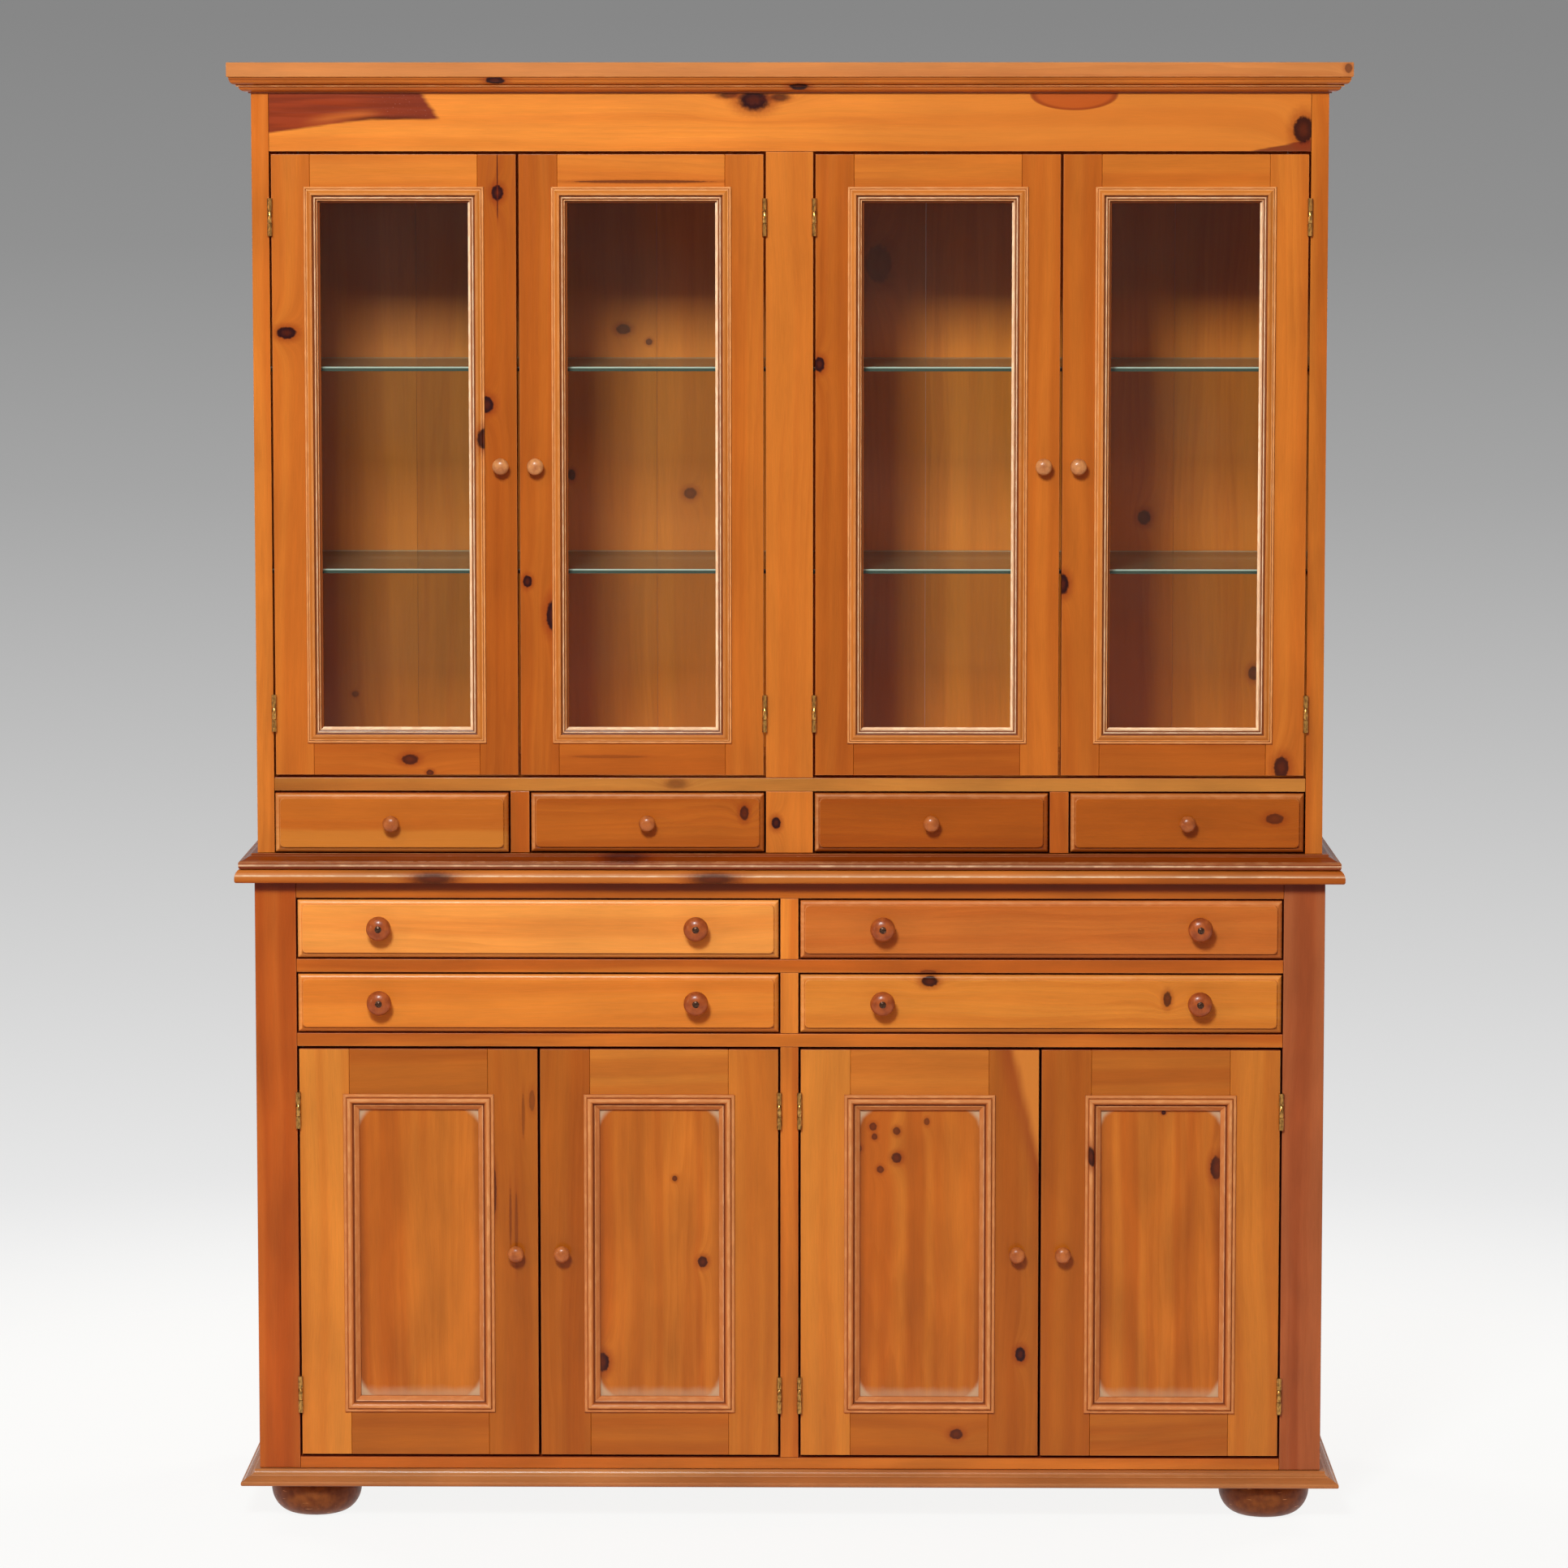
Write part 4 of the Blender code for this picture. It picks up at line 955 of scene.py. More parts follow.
def heights(node):
    """The lowest and highest z of a CAD node."""
    low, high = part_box(node)
    return low.z, high.z


def cornice():
    """The flat board on top of the hutch."""
    top = heights("cornice")[1]
    reach = 0.030
    profile = (curve((reach - 0.002, CORNICE_Z + 0.0003), (reach, CORNICE_Z + 0.0023), 1, 4)
               + curve((reach, top - 0.0012), (reach - 0.0012, top), -1, 5))
    wear_and_light = [1.0] * 3 + [0.0] + [0.5] * 5
    finish = pine("cornice_pine", "X", (203, 127, 66), 8.1, ((0.743, 1.973, 0.005, 0.006, 0.6),), calm=0.6,
                  dull=0.28, polish=0.0)
    edged_board("cornice_board", "cornice", HUTCH_HALF, HUTCH_BACK_Y, profile, wear_and_light, finish)


def cove():
    """The moulding under the cornice: two swelling steps with a bead between them, all with painted light.
    """
    z = CORNICE_Z
    profile = [(0.0003, z - 0.0206), (0.0030, z - 0.0206), (0.0036, z - 0.0190)]
    profile += curve((0.0036, z - 0.0189), (0.0150, z - 0.0124), 1, 9)[1:]
    profile += [(0.0172, z - 0.0121), (0.0186, z - 0.0115), (0.0188, z - 0.0106), (0.0178, z - 0.0097)]
    profile += curve((0.0178, z - 0.0096), (0.0262, z - 0.0036), 1, 7)[1:]
    profile += [(0.0272, z - 0.0030), (0.0272, z + 0.0002), (0.0003, z + 0.0002)]
    wear_and_light = np.zeros(len(profile))
    # Pale wear and painted highlight on the bead; painted shade under it, in the quirk above it, at the
    # bottom and under the cornice board
    wear_and_light[[11, 12]] = 1.1
    wear_and_light[[0, 1, 2, 13, 14]] = -0.6
    wear_and_light[[10, 20, 21]] = -0.35
    front = 0.445
    marks = ((front + 0.337, 0.036, 0.012, 0.006), (front + 0.727, 0.022, 0.012, 0.008))
    finish = pine("cove_pine", "path", tone(0.55), 8.7, marks, wear_and_light=0.6, polish=0.12)
    shape = edge_moulding(HUTCH_HALF, HUTCH_BACK_Y, profile, wear_and_light)
    piece("cove_moulding", shape, finish, "carcass", "moulded_pine")


def hutch_base():
    """The dark board under the hutch: a roll at the bottom, a slope and an upright top."""
    low, high = heights("hutch_base")
    profile = curve((0.0212, low), (0.0245, low + 0.0040), 1, 5) + [(0.0245, low + 0.0066)]
    profile += curve((0.0245, low + 0.0080), (0.0214, low + 0.0108), -1, 5)
    profile += [(0.0200, low + 0.0112), (0.0160, low + 0.0130), (0.0118, low + 0.0156)]
    profile += [(0.0094, low + 0.0164), (0.0081, low + 0.0168), (0.0081, high - 0.0006), (0.0075, high)]
    # A near white painted highlight line along the roll's front; paler marks of wear and painted highlight
    # on the other rounds
    wear_and_light = [0, 0, 0, 0, 1.4, 0, 0.5, 0.5, 0.5, 0.5, 0.5, 0, 0, 0, 0.5, 0, 0.5, 0]
    finish = pine("hutch_base_pine", "X", (132, 60, 22), 9.2, ((-0.223, 0.914, 0.030, 0.006, 0.8, 0.7),),
                  polish=0.14, wear_and_light=0.5)
    edged_board("hutch_base_board", "hutch_base", HUTCH_HALF, HUTCH_BACK_Y, profile, wear_and_light, finish)


def buffet_top():
    """The buffet's top, with a large round along its front and sides and a thin painted highlight on it."""
    low, high = heights("buffet_top")
    profile = curve((0.0220, low), (0.0250, low + 0.0034), 1, 5) + [(0.0250, low + 0.0062)]
    profile += curve((0.0250, low + 0.0066), (0.0160, high), -1, 9)
    # Painted shade under the lower roll, and a painted highlight as a thin pale line on the upper round
    wear_and_light = [-0.4, 0, 0, 0, 0, 0, 0, 1.45, 0.3, 0, 0, 0, 0, 0, 0]
    marks = ((-0.481, 0.886, 0.026, 0.008, 0.85, 0.6), (-0.102, 0.886, 0.030, 0.008, 0.85, 0.6))
    finish = pine("buffet_top_pine", "X", (188, 109, 46), 9.6, marks, polish=0.0, dull=0.2, wear_and_light=0.5)
    edged_board("buffet_top_board", "buffet_top", BUFFET_HALF, BUFFET_BACK_Y, profile, wear_and_light, finish)


def base_board():
    """The ogee board round the foot of the buffet."""
    low, high = heights("base_board")
    profile = curve((0.0215, low), (0.0240, low + 0.0026), 1, 5)
    profile += curve((0.0240, low + 0.0040), (0.0212, low + 0.0068), -1, 5)
    profile += [(0.0180, low + 0.0094), (0.0142, low + 0.0116), (0.0118, low + 0.0124)]
    profile += [(0.0112, low + 0.0134)]
    profile += curve((0.0108, low + 0.0138), (0.0062, high - 0.0012), 1, 6)[1:] + [(0.0060, high)]
    wear_and_light = [0, 0, 0, 0, 0, 1, 1, 1, 1, 0, 0, 0, 1, 1, 1, 1, 0, 0, 0, 0]
    finish = pine("base_board_pine", "X", (188, 127, 77), 9.9, polish=0.2, wear_and_light=0.12)
    edged_board("plinth_board", "base_board", BUFFET_HALF, BUFFET_BACK_Y, profile, wear_and_light, finish)


def bun_feet():
    """A bowl that swells to a belly and draws in to a short shoulder, standing on a flat pad."""
    for number, (end, side) in enumerate((e, s) for e in ("front", "back") for s in ("left", "right")):
        node = f"bun_foot_{end}_{side}"
        low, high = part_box(node)
        middle = ((low.x + high.x) / 2, (low.y + high.y) / 2, 0.0)
        radius, tall, belly, pad = (high.x - low.x) / 2, high.z, 0.036, 0.030
        turn = np.linspace(np.pi / 2, 0, 14)
        bowl = [(pad + (radius - pad) * math.cos(t), belly - belly * math.sin(t)) for t in turn]
        turn = np.linspace(0, 1, 7)[1:]
        shoulder = [(radius - 0.004 * t ** 2, belly + (tall - belly) * t) for t in turn]
        profile = [(0.0, 0.0)] + bowl + shoulder + [(0.0, tall)]
        finish = turned_pine(node + "_pine", (142, 78, 30), 3.0 + number, dull=0.7)
        shape = turned_shape(profile, middle, (0.0, 0.0, 1.0), 64)
        piece(node + "_turned", shape, finish, "carcass", "moulded_pine", node)


cornice()
cove()
hutch_base()
buffet_top()
base_board()
bun_feet()

# Knobs and hinges


def knob_profile(radius, length):
    """A flared foot, a narrow neck and a mushroom head with a slightly flattened crown."""
    neck = [(radius * 0.66, 0.0), (radius * 0.62, length * 0.07), (radius * 0.50, length * 0.22),
            (radius * 0.48, length * 0.36), (radius * 0.56, length * 0.46)]
    turn = np.linspace(-0.30 * np.pi, 0.46 * np.pi, 14)
    rim = length * 0.70
    head = [(radius * (0.55 + 0.45 * math.cos(t)) if t < 0 else radius * math.cos(t) ** 0.8,
             rim + length * 0.30 * math.sin(t)) for t in turn]
    return [(0.0, -0.0004)] + neck + head + [(0.0, length)]


def knob(name, size, place, finish, body, slot):
    """A turned knob of a radius and a length, which points forward from its place."""
    shape = turned_shape(knob_profile(*size), place, (0.0, -1.0, 0.0), 44)
    return piece(name, shape, finish, body, slot)


def screw_head(name, place, finish, body):
    """A small domed head sunk into a knob's crown: a ring, a hollow round it and a low dome."""
    profile = [(0.0, -0.0030), (0.0046, -0.0030), (0.0048, -0.0012), (0.0044, -0.0002), (0.0036, -0.0006),
               (0.0030, -0.0004), (0.0022, -0.0001), (0.0011, 0.0)]
    shape = turned_shape(profile + [(0.0, 0.0)], place, (0.0, -1.0, 0.0), 24)
    return piece(name, shape, finish, body, "hinge_brass")


def hinge_half(name, axis_x, z, towards, finish, body):
    """The door's leaf in the gap with its middle knuckle on the pin."""
    third = HINGE_HEIGHT / 3
    axis_y = FACE_Y - HINGE_OUT
    chamfer, start, stop = 0.0004, 0.0003, third - 0.0003
    profile = [(0.0, start), (BARREL - chamfer, start), (BARREL, start + chamfer), (BARREL, stop - chamfer),
               (BARREL - chamfer, stop), (0.0, stop)]
    knuckle = turned_shape(profile, (axis_x, axis_y, z + third), (0.0, 0.0, 1.0), 24)
    x = sorted((axis_x + towards * 0.0002, axis_x + towards * 0.0011))
    leaf = board_shape((x[0], FACE_Y + 0.0002, z + 0.0005),
                       (x[1], FACE_Y + LEAF_DEPTH, z + HINGE_HEIGHT - 0.0005), "Z", 0.0002)
    tab = board_shape((x[0], axis_y, z + third + 0.0006),
                      (x[1], FACE_Y + 0.0004, z + 2 * third - 0.0006), "Z", 0.0002)
    leaf["smooth"] = tab["smooth"] = knuckle["smooth"]
    return piece(name, together([knuckle, leaf, tab]), finish, body, "hinge_brass")


# Doors

BUFFET_MOULDING = [(0.0, 0.0001), (0.0, 0.0022), (0.0004, 0.0031), (0.0010, 0.0036), (0.0028, 0.0038),
                   (0.0040, 0.0036), (0.0046, 0.0029), (0.0049, 0.0029), (0.0050, 0.0056), (0.0057, 0.0068),
                   (0.0068, 0.0077), (0.0082, 0.0080), (0.0098, 0.0077), (0.0112, 0.0070), (0.0122, 0.0058),
                   (0.0128, 0.0042), (0.0131, 0.0018), (0.0146, 0.0014), (0.0149, 0.0024), (0.0154, 0.0028),
                   (0.0160, 0.0025), (0.0178, 0.0010), (0.0197, -0.0006), (0.0210, -0.0016),
                   (0.0215, -0.0024), (0.0215, -0.0058), (0.0087, -0.0058), (0.0087, 0.0001)]
HUTCH_MOULDING = [(0.0, 0.0001), (0.0, 0.0022), (0.0004, 0.0030), (0.0012, 0.0034), (0.0022, 0.0033),
                  (0.0028, 0.0028), (0.0032, 0.0034), (0.0036, 0.0046), (0.0042, 0.0050), (0.0050, 0.0051),
                  (0.0064, 0.0058), (0.0080, 0.0068), (0.0094, 0.0076), (0.0104, 0.0080), (0.0112, 0.0076),
                  (0.0117, 0.0064), (0.0120, 0.0026), (0.0136, 0.0022), (0.0139, 0.0036), (0.0144, 0.0046),
                  (0.0152, 0.0047), (0.0157, 0.0042), (0.0159, 0.0016), (0.0172, 0.0012), (0.0174, 0.0026),
                  (0.0178, 0.0032), (0.0184, 0.0030), (0.0187, 0.0010), (0.0189, -0.0036), (0.0215, -0.0042),
                  (0.0215, -0.0058), (0.0087, -0.0058), (0.0087, 0.0001)]
# A value of this much marks the ledge beside the glass, which has a painted highlight on the bottom and
# right lengths and painted shade on the top and left
LEDGE = 2.0


def wear_and_light_of(profile, spans):
    """Wear and painted light of each face of a profile, from a point to its next; painted shade in the
    quirks is below zero.
    """
    wear_and_light = np.zeros(len(profile))
    for first, past, amount in spans:
        wear_and_light[first:past] = amount
    return wear_and_light


# Pale wear and painted highlight on the beads and crests, painted shade in the quirks and grooves
BUFFET_WEAR_AND_LIGHT = wear_and_light_of(BUFFET_MOULDING, ((2, 5, 0.9), (6, 8, -0.35), (9, 12, 1.15), (12, 14, 0.4),
                                        (14, 16, -0.25), (16, 18, -0.75), (18, 20, 1.35), (20, 24, 0.6)))
HUTCH_WEAR_AND_LIGHT = wear_and_light_of(HUTCH_MOULDING, ((2, 5, 0.9), (5, 6, -0.5), (7, 9, 1.0), (11, 14, 0.4),
                                      (15, 17, -0.75), (17, 21, 1.5), (21, 23, -0.7), (23, 27, 1.4),
                                      (27, 29, LEDGE)))
DOOR_MOULDING = {"hutch": (HUTCH_MOULDING, HUTCH_WEAR_AND_LIGHT), "buffet": (BUFFET_MOULDING, BUFFET_WEAR_AND_LIGHT)}
MOULDING_TINTS = {"hutch": (205, 124, 53), "buffet": (194, 112, 56)}
# How strongly the pale wear and painted highlights show on each unit's mouldings
MOULDING_WEAR_AND_LIGHT = {"hutch": 0.72, "buffet": 0.55}
# How far a moulding's top length sits below its place in the frame
RIM_DROP = {"hutch": 0.0, "buffet": 0.0024}
# How far the pale wear and painted highlight show on the bottom, right, top and left lengths of a door's
# moulding; the top and left, which face away from the light, show a little less
SIDE_WEAR_AND_LIGHT = (1.0, 1.0, 0.92, 0.92)
LEDGE_LIGHT_AND_SHADE = (1.6, 1.6, -0.75, -0.75)

# Tone levels of each door's left stile, right stile, top rail and bottom rail
DOOR_TONES = {
    "hutch": ((0.46, 0.80, 0.34, 0.61), (0.70, 0.53, 0.30, 0.68),
              (0.70, 0.57, 0.42, 0.80), (0.63, 0.42, 0.49, 0.75)),
    "buffet": ((0.33, 0.80, 0.77, 0.80), (0.84, 0.55, 0.48, 0.74),
               (0.38, 0.79, 0.47, 0.77), (0.80, 0.50, 0.72, 0.71))}
# The buffet's doors are a little less red than the hutch's
DOOR_CAST = {"hutch": (1.0, 1.0, 1.0), "buffet": (1.01, 1.08, 1.13)}
# Knots as run, across, half run, half across and strength, in metres, for each board of a door
DOOR_KNOTS = {
    ("hutch", 1): {"left": [(1.621, -0.675, 0.008, 0.013)],
                   "right": [(1.808, -0.391, 0.010, 0.008), (1.836, -0.391, 0.026, 0.0006),
                             (1.790, -0.391, 0.016, 0.0006), (1.525, -0.407, 0.011, 0.0095)],
                   "bottom": [(-0.513, 1.046, 0.011, 0.007, 0.85), (-0.486, 1.028, 0.005, 0.004, 0.8)]},
    ("hutch", 2): {"left": [(1.287, -0.353, 0.008, 0.006), (1.241, -0.318, 0.020, 0.010)],
                   "top": [(-0.199, 1.823, 0.090, 0.002, 0.65)],
                   "bottom": [(-0.244, 1.050, 0.050, 0.002, 0.3)]},
    ("hutch", 3): {"left": [(1.579, 0.040, 0.010, 0.007)]},
    ("hutch", 4): {"left": [(1.284, 0.367, 0.014, 0.009)], "right": [(1.036, 0.664, 0.015, 0.010, 0.9)]},
    ("buffet", 1): {"right": [(0.455, -0.402, 0.032, 0.003, 0.7), (0.420, -0.380, 0.040, 0.0015, 0.4),
                              (0.405, -0.372, 0.050, 0.002, 0.35), (0.580, -0.350, 0.014, 0.004, 0.4),
                              (0.560, -0.362, 0.030, 0.002, 0.35)]},
    ("buffet", 3): {"right": [(0.231, 0.315, 0.010, 0.007)], "bottom": [(0.228, 0.120, 0.009, 0.007, 0.8)]}}
PANEL_KNOTS = {
    2: [(0.472, -0.150, 0.004, 0.0035, 0.75), (0.357, -0.112, 0.0075, 0.0065, 0.9),
        (0.2175, -0.249, 0.013, 0.009)],
    3: [(0.544, 0.120, 0.0055, 0.005, 0.7), (0.538, 0.152, 0.0055, 0.005, 0.7),
        (0.530, 0.122, 0.0045, 0.004, 0.7), (0.514, 0.100, 0.005, 0.005, 0.7),
        (0.551, 0.193, 0.005, 0.004, 0.6), (0.501, 0.152, 0.007, 0.007, 0.8),
        (0.485, 0.130, 0.005, 0.005, 0.7)],
    4: [(0.488, 0.587, 0.016, 0.008, 0.9), (0.564, 0.515, 0.003, 0.003)]}
# Knots on a door's moulding: the side, from 0 at the bottom to 3 at the left, the distance along it and
# across it, half sizes and strength
MOULDING_KNOTS = {("hutch", 1): ((1, 0.4115, 0.003, 0.014, 0.012, 0.95),),
                  ("buffet", 4): ((3, 0.0785, 0.0152, 0.013, 0.007, 0.95),)}
PANEL_TINT = (198, 116, 43)
DOOR_FIGURES = {("buffet", 3, "right"): pale_wedge}
DOOR_GAPS = {"left": ("low", "start", "stop"), "right": ("high", "start", "stop"), "top": ("high",),
             "bottom": ("low",)}


def upright_knots(knots):
    """A vertical board's across is its x plus its depth, so its knots move by the face's depth."""
    return tuple((knot[0], knot[1] + FACE_Y, *knot[2:]) for knot in knots)


def door_boards(unit, number, stile, x, z, seed):
    """A door's two stiles and two rails."""
    name = f"{unit}_door_{number}"
    knots = DOOR_KNOTS.get((unit, number), {})
    spans = {"left": ((x[0], x[0] + stile), z, "Z"), "right": ((x[1] - stile, x[1]), z, "Z"),
             "top": ((x[0] + stile, x[1] - stile), (z[1] - stile, z[1]), "X"),
             "bottom": ((x[0] + stile, x[1] - stile), (z[0], z[0] + stile), "X")}
    for order, (side, (across, tall, along)) in enumerate(spans.items()):
        at = (across[0] + HAIR / 2, FACE_Y, tall[0] + HAIR / 2)
        to = (across[1] - HAIR / 2, FACE_Y + DOOR_BOARD, tall[1] - HAIR / 2)
        marks = knots.get(side, [])
        marks = upright_knots(marks) if along == "Z" else tuple(marks)
        tint = scaled(tone(DOOR_TONES[unit][number - 1][order]), DOOR_CAST[unit])
        finish = pine(f"{name}_{side}_pine", along, tint, seed + order * 0.37, marks,
                      DOOR_FIGURES.get((unit, number, side)), calm=0.6)
        shape = board_shape(at, to, along, gaps=DOOR_GAPS[side])
        made = piece(f"{name}_{side}_board", shape, finish, name, "door_pine")
        if order == 0:
            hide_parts(name + "_frame")


def door_moulding(unit, number, rim, seed):
    """The four mitred lengths round a door's opening."""
    name = f"{unit}_door_{number}"
    marks = []
    for side, run, across, *rest in MOULDING_KNOTS.get((unit, number), ()):
        start, aside = grain_start(seed, side)
        marks.append((run + start, across + aside, *rest))
    finish = pine(name + "_moulding_pine", "path", MOULDING_TINTS[unit], seed + 1.9, marks,
                  wear_and_light=MOULDING_WEAR_AND_LIGHT[unit], polish=0.05, dull=0.16, calm=0.5)
    shape = framed_moulding(*rim, *DOOR_MOULDING[unit], seed)
    piece(name + "_moulding", shape, finish, name, "moulded_pine")


def door_panel(number, x, z, seed):
    """A buffet door's flat panel, with wax in the corners that show and painted shade at its sides."""
    name = f"buffet_door_{number}"
    slack, inner = 0.0005, 0.0125
    at = (x[0] + slack, FACE_Y + PANEL_SEAT + 0.0003, z[0] + slack)
    to = (x[1] - slack, FACE_Y + PANEL_SEAT + PANEL, z[1] - slack)
    haze = dusty_corners_and_shaded_sides((at[0] + inner, at[1], at[2] + inner), (to[0] - inner, to[1], to[2] - inner))
    knots = upright_knots(PANEL_KNOTS.get(number, []))
    finish = pine(name + "_panel_pine", "Z", PANEL_TINT, seed + 2.6, knots, haze=haze)
    piece(name + "_panel", board_shape(at, to, "Z"), finish, name, "door_pine")


def door(unit, number, stile, metal):
    """Four boards, a moulding, a panel in the buffet, a knob and the door's halves of two hinges."""
    name = f"{unit}_door_{number}"
    low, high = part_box(name + "_frame")
    swings_left = number % 2 == 1
    past = BARREL + HINGE_GAP / 2
    x = (low.x + past, high.x) if swings_left else (low.x, high.x - past)
    z = (low.z, high.z)
    seed = number * 2.17 + (20.0 if unit == "buffet" else 11.0)
    door_boards(unit, number, stile, x, z, seed)
    margin = stile - MOULDING_LAP
    rim = ((x[0] + margin, z[0] + margin), (x[1] - margin, z[1] - margin - RIM_DROP[unit]))
    door_moulding(unit, number, rim, seed)
    if unit == "buffet":
        door_panel(number, (x[0] + stile, x[1] - stile), (z[0] + stile, z[1] - stile), seed)
    knob_x = x[1] - margin / 2 if swings_left else x[0] + margin / 2
    place = (knob_x, FACE_Y, (z[0] + z[1]) / 2)
    finish = turned_pine(name + "_knob_pine", KNOB_TINTS[unit], seed)
    knob(name + "_knob", SMALL_KNOB, place, finish, name, "door_pine")
    axis_x = x[0] - HINGE_GAP / 2 if swings_left else x[1] + HINGE_GAP / 2
    for end, hinge_z in (("lower", z[0] + HINGE_INSET), ("upper", z[1] - HINGE_INSET - HINGE_HEIGHT)):
        hinge_half(f"{name}_hinge_{end}_leaf", axis_x, hinge_z, 1 if swings_left else -1, metal, name)
        wear(f"{name}_hinge_{end}", metal)


hinge_metal = brass()
for door_number in (1, 2, 3, 4):
    door("hutch", door_number, HUTCH_STILE, hinge_metal)
    door("buffet", door_number, BUFFET_STILE, hinge_metal)

# Drawers

DRAWER_KNOTS = {"hutch_drawer_2": ((-0.061, 0.974, 0.006, 0.010, 0.85),),
                "hutch_drawer_4": ((0.655, 0.967, 0.012, 0.007, 0.7),),
                "buffet_drawer_lower_right": ((0.512, 0.721, 0.0055, 0.010, 0.8),
                                              (0.190, 0.7450, 0.011, 0.007, 0.95))}
DRAWER_TINTS = {"hutch_drawer_1": tone(0.60), "hutch_drawer_2": tone(0.72), "hutch_drawer_3": tone(0.90),
                "hutch_drawer_4": tone(0.83), "buffet_drawer_upper_left": (241, 157, 75),
                "buffet_drawer_upper_right": (202, 114, 50), "buffet_drawer_lower_left": tone(0.22),
                "buffet_drawer_lower_right": (219, 136, 55)}


def drawer_tray(name, x, y, opening, seed):
    """The boards behind a drawer front: two sides, a back and a bottom."""
    inner = (x[0] + DRAWER_WALL, x[1] - DRAWER_WALL)
    bottom, top = opening[0] + 0.0006, opening[1] - 0.008
    rear = y[1] - DRAWER_WALL
    boards = [board_shape((x[0], y[0], bottom), (inner[0], y[1], top), "Y"),
              board_shape((inner[1], y[0], bottom), (x[1], y[1], top), "Y"),
              board_shape((inner[0], rear, bottom), (inner[1], y[1], top), "X"),
              board_shape((inner[0], y[0], bottom), (inner[1], rear, opening[0] + DRAWER_BOTTOM), "X")]
    finish = pine(name + "_tray_pine", "Y", (214, 160, 104), seed + 0.7, dull=0.22)
    piece(name + "_tray", together(boards), finish, name, "drawer_pine")


def drawer(name, opening, knob_size, knob_at, ajar, seed, metal):
    """A front with a quirked round edge, a tray of four boards, and one or two knobs."""
    node_low, node_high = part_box(name)
    x = (node_low.x + DRAWER_SLACK, node_high.x - DRAWER_SLACK)
    z = (opening[0] + 0.0015 + DRAWER_SLACK, opening[1] - 0.0015 - DRAWER_SLACK)
    face = FACE_Y - DRAWER_PROUD - ajar
    back = face + DRAWER_FRONT
    turn = np.linspace(0, np.pi / 2, 7)
    steps = [(0.0, back, 0.0004), (0.0, face + 0.0080, 0.0004)]
    steps += [(0.0052 * (1 - math.cos(t)), face + 0.0076 - 0.0048 * math.sin(t), 0.0010) for t in turn]
    steps += [(0.0060, face + 0.0030, 0.0050), (0.0063, face + 0.0006, 0.0060), (0.0072, face, 0.0060)]
    # Painted shade on the front's sides in the gap and its outer rounding; pale wear and painted highlight
    # on the round edge and the field's rim, which turn to painted shade on the bottom and right
    wear_and_light = [DEEP_PAINTED_SHADE, DEEP_PAINTED_SHADE, -0.6, 0.0, 0.7, 0.8, 0.8, 0.8, -0.6, -0.6, 0.6, 0.0]
    blotch = pale_below(z[0] + (z[1] - z[0]) * 0.38) if name == "hutch_drawer_1" else None
    finish = pine(name + "_front_pine", "X", DRAWER_TINTS[name], seed, DRAWER_KNOTS.get(name, ()), blotch,
                  figure=0.2, wear_and_light=0.5, calm=0.5, dull=0.05, polish=0.05)
    shape = fielded_front((x[0], z[0]), (x[1], z[1]), steps, wear_and_light, (8, 9))
    piece(name + "_front", shape, finish, name, "drawer_pine", name)
    drawer_tray(name, (node_low.x + 0.001, node_high.x - 0.001), (back, node_high.y), opening, seed)
    middle = ((x[0] + x[1]) / 2, (z[0] + z[1]) / 2)
    for number, at in enumerate(knob_at, start=1):
        big = knob_size == BIG_KNOB
        place = (middle[0] + at, face, middle[1] + (KNOB_RISE if big else 0.0))
        tint = KNOB_TINTS["big" if big else "small"]
        finish = turned_pine(f"{name}_knob_{number}_pine", tint, seed + number)
        knob(f"{name}_knob_{number}", knob_size, place, finish, name, "drawer_pine")
        if big:
            tip = (place[0], face - knob_size[1] - SCREW_OUT, place[2])
            screw_head(f"{name}_knob_{number}_screw", tip, metal, name)


screw_steel = dark_screw()
for drawer_number in (1, 2, 3, 4):
    drawer(f"hutch_drawer_{drawer_number}", (SMALL_DRAWER_Z, HUTCH_RAIL_Z), SMALL_KNOB, (0.0,),
           AJAR if drawer_number == 1 else 0.0, 40.3 + drawer_number, screw_steel)
for drawer_order, (row, row_z) in enumerate((("upper", UPPER_DRAWER_Z), ("lower", LOWER_DRAWER_Z))):
    for side_order, side in enumerate(("left", "right")):
        drawer_seed = 50.6 + drawer_order * 2.3 + side_order
        drawer(f"buffet_drawer_{row}_{side}", (row_z, row_z + LONG_DRAWER_HEIGHT), BIG_KNOB,
               (-BIG_KNOB_SPREAD, BIG_KNOB_SPREAD), 0.0, drawer_seed, screw_steel)

# Backs, sides, shelves and glass


def plank_back(node, shades, tint, slot, seed, knots=()):
    """A back of upright planks that lie edge to edge; each scales the tint by its own shade."""
    low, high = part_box(node)
    count = len(shades)
    chance = np.random.default_rng(int(seed * 10))
    joints = np.linspace(low.x, high.x, count + 1)
    joints[1:-1] += chance.uniform(-0.018, 0.018, count - 1)
    for number in range(count):
        at = (joints[number] + HAIR / 2, low.y, low.z)
        to = (joints[number + 1] - HAIR / 2, high.y, high.z)
        inside = [knot for knot in knots if joints[number] < knot[1] < joints[number + 1]]
        marks = tuple((knot[0], knot[1] + low.y, *knot[2:]) for knot in inside)
        name = f"{node}_plank_{number + 1}"
        finish = pine(name + "_pine", "Z", scaled(tint, shades[number]), seed + number * 0.31, marks,
                      dull=0.12, calm=0.4, wear_and_light=0.0)
        made = piece(name, board_shape(at, to, "Z", 0.0002), finish, "carcass", slot)
        if number == 0:
            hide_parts(node)


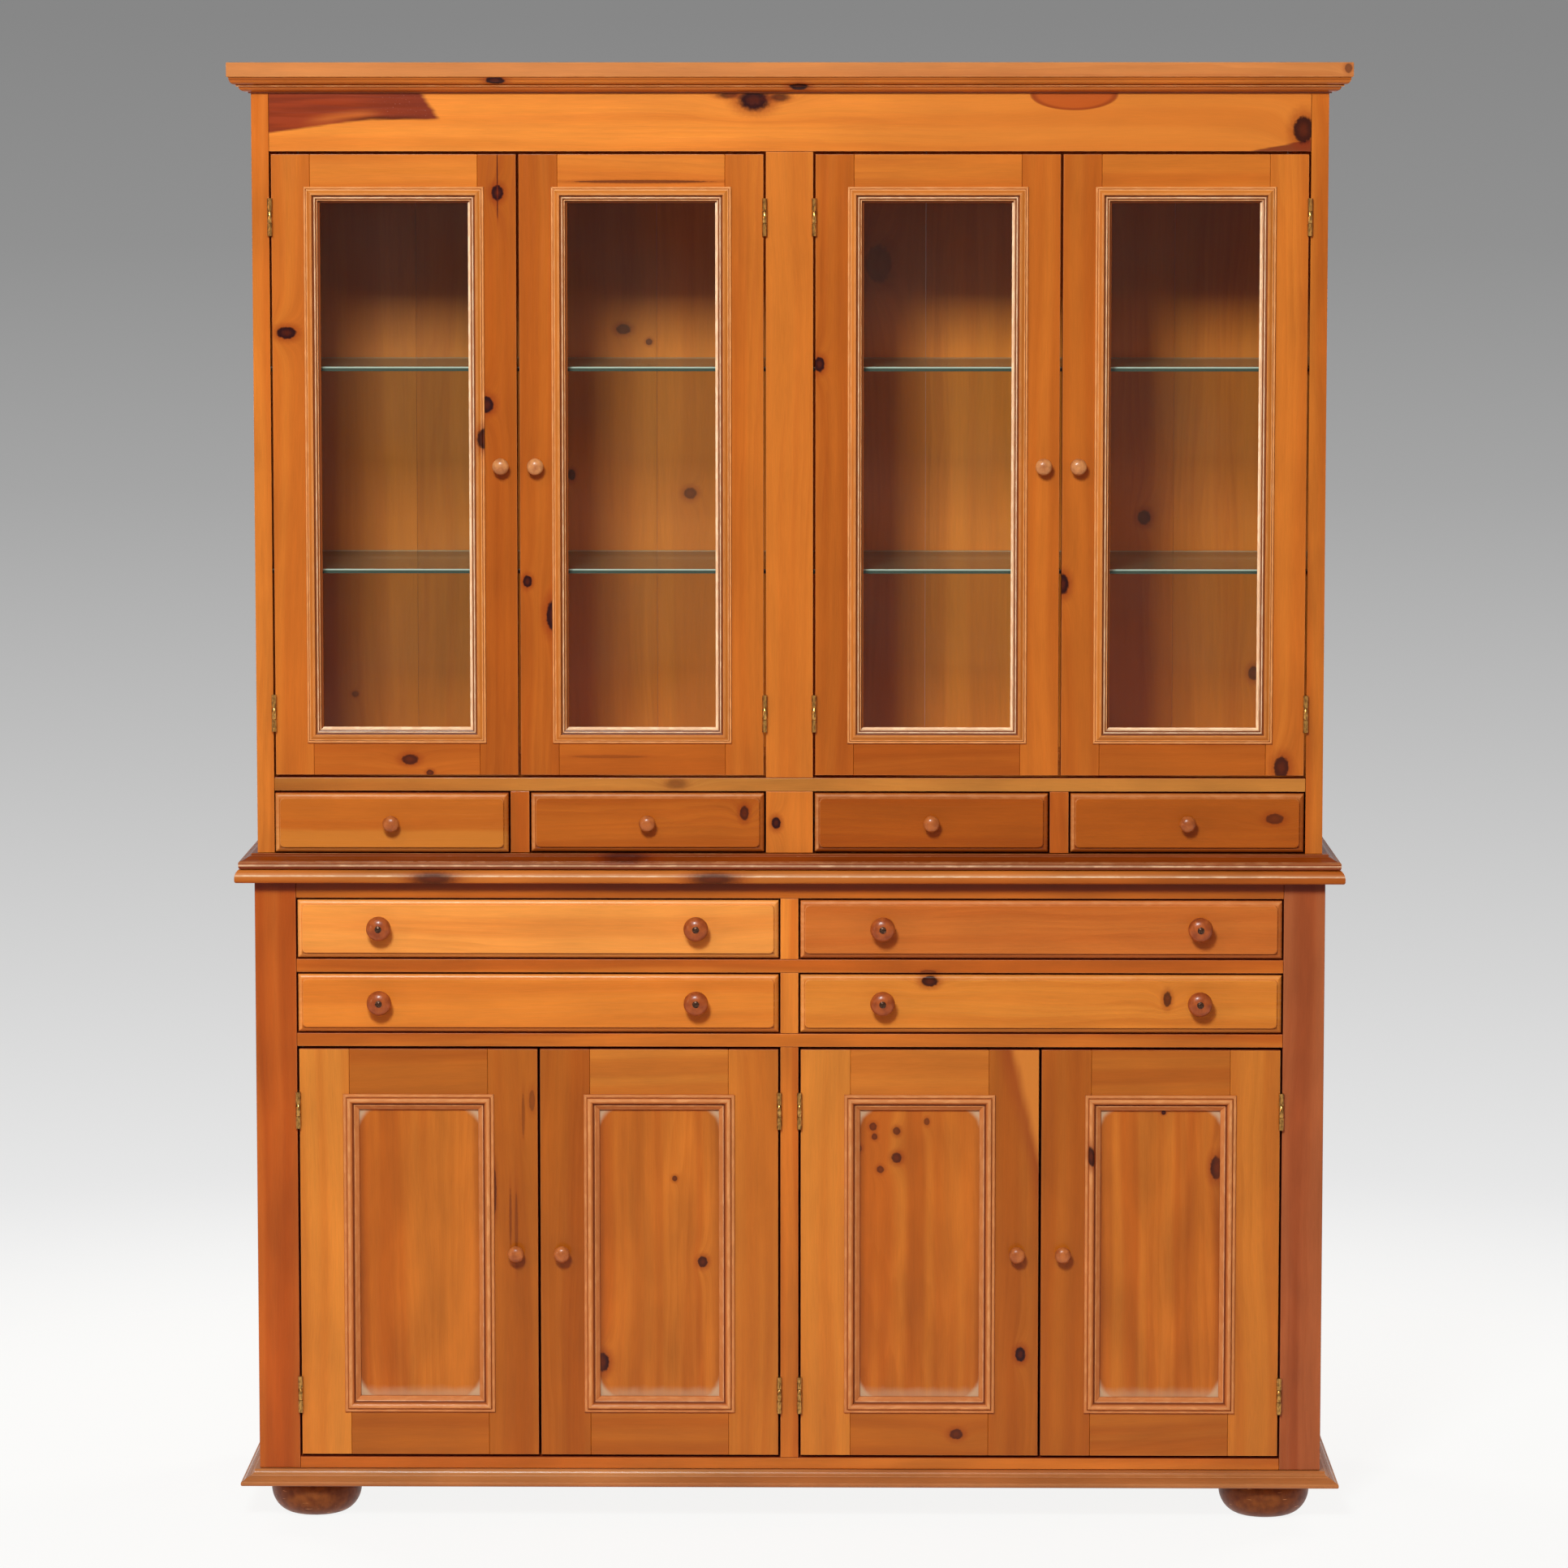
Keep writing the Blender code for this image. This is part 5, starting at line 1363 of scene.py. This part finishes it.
plank_back("hutch_back", (0.88, 0.87, 0.94, 0.97, 1.0, 1.01, 0.94, 0.92), (224, 128, 44), "back_pine", 60.4,
           ((1.614, -0.239, 0.007, 0.010, 0.7), (1.596, -0.203, 0.0045, 0.0045, 0.7),
            (1.382, -0.145, 0.008, 0.009, 0.65), (1.408, -0.313, 0.008, 0.005, 0.8),
            (1.706, 0.121, 0.026, 0.018, 0.4), (1.348, 0.498, 0.010, 0.009, 0.7),
            (1.127, 0.655, 0.010, 0.008, 0.7), (1.096, -0.622, 0.004, 0.005, 0.5)))
plank_back("buffet_back", (0.98, 1.03, 0.96, 1.0, 1.04, 0.95), tone(0.5), "back_pine", 70.2,
           ((0.32, -0.45, 0.016, 0.012), (0.62, -0.10, 0.014, 0.012), (0.22, 0.30, 0.018, 0.014),
            (0.70, 0.55, 0.012, 0.010)))

SIDE_KNOTS = {"hutch": ((1.28, 0.02, 0.016, 0.010), (1.62, 0.15, 0.014, 0.010), (1.80, -0.10, 0.014, 0.009),
                        (1.10, -0.12, 0.012, 0.009)),
              "buffet": ((0.30, 0.06, 0.018, 0.012), (0.66, -0.08, 0.014, 0.010),
                         (0.48, 0.17, 0.014, 0.010))}


def side_board(unit, end, x, tint, seed, haze=None):
    """Gives a side its finish; the across of its knots is their depth plus the side's x."""
    knots = tuple((run, depth + x, *half) for run, depth, *half in SIDE_KNOTS[unit])
    name = f"{unit}_{end}_side"
    wear(name, pine(name + "_pine", "Z", tint, seed, knots, haze=haze))


for sign, end, level in ((-1, "left", 0.38), (1, "right", 0.47)):
    side_board("hutch", end, sign * HUTCH_HALF, tone(level), 80.1 + sign, painted_shade_inner_face(HUTCH_INSIDE))
    side_board("buffet", end, sign * BUFFET_HALF, tone(0.7), 83.1 + sign)
for inner_board, along, seed in (("hutch_partition", "Z", 85.2), ("buffet_partition", "Z", 86.2),
                                 ("hutch_floor", "X", 87.2), ("buffet_floor", "X", 88.2)):
    wear(inner_board, pine(inner_board + "_pine", along, tone(0.5), seed))
door_glass = pane_glass()
for pane_number in (1, 2, 3, 4):
    wear(f"hutch_door_{pane_number}_glass", door_glass)
for shelf_level in ("lower", "upper"):
    shelf_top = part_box(f"glass_shelf_left_{shelf_level}")[1].z
    glass = shelf_glass(f"shelf_glass_{shelf_level}", shelf_top)
    for shelf_side in ("left", "right"):
        wear(f"glass_shelf_{shelf_side}_{shelf_level}", glass)
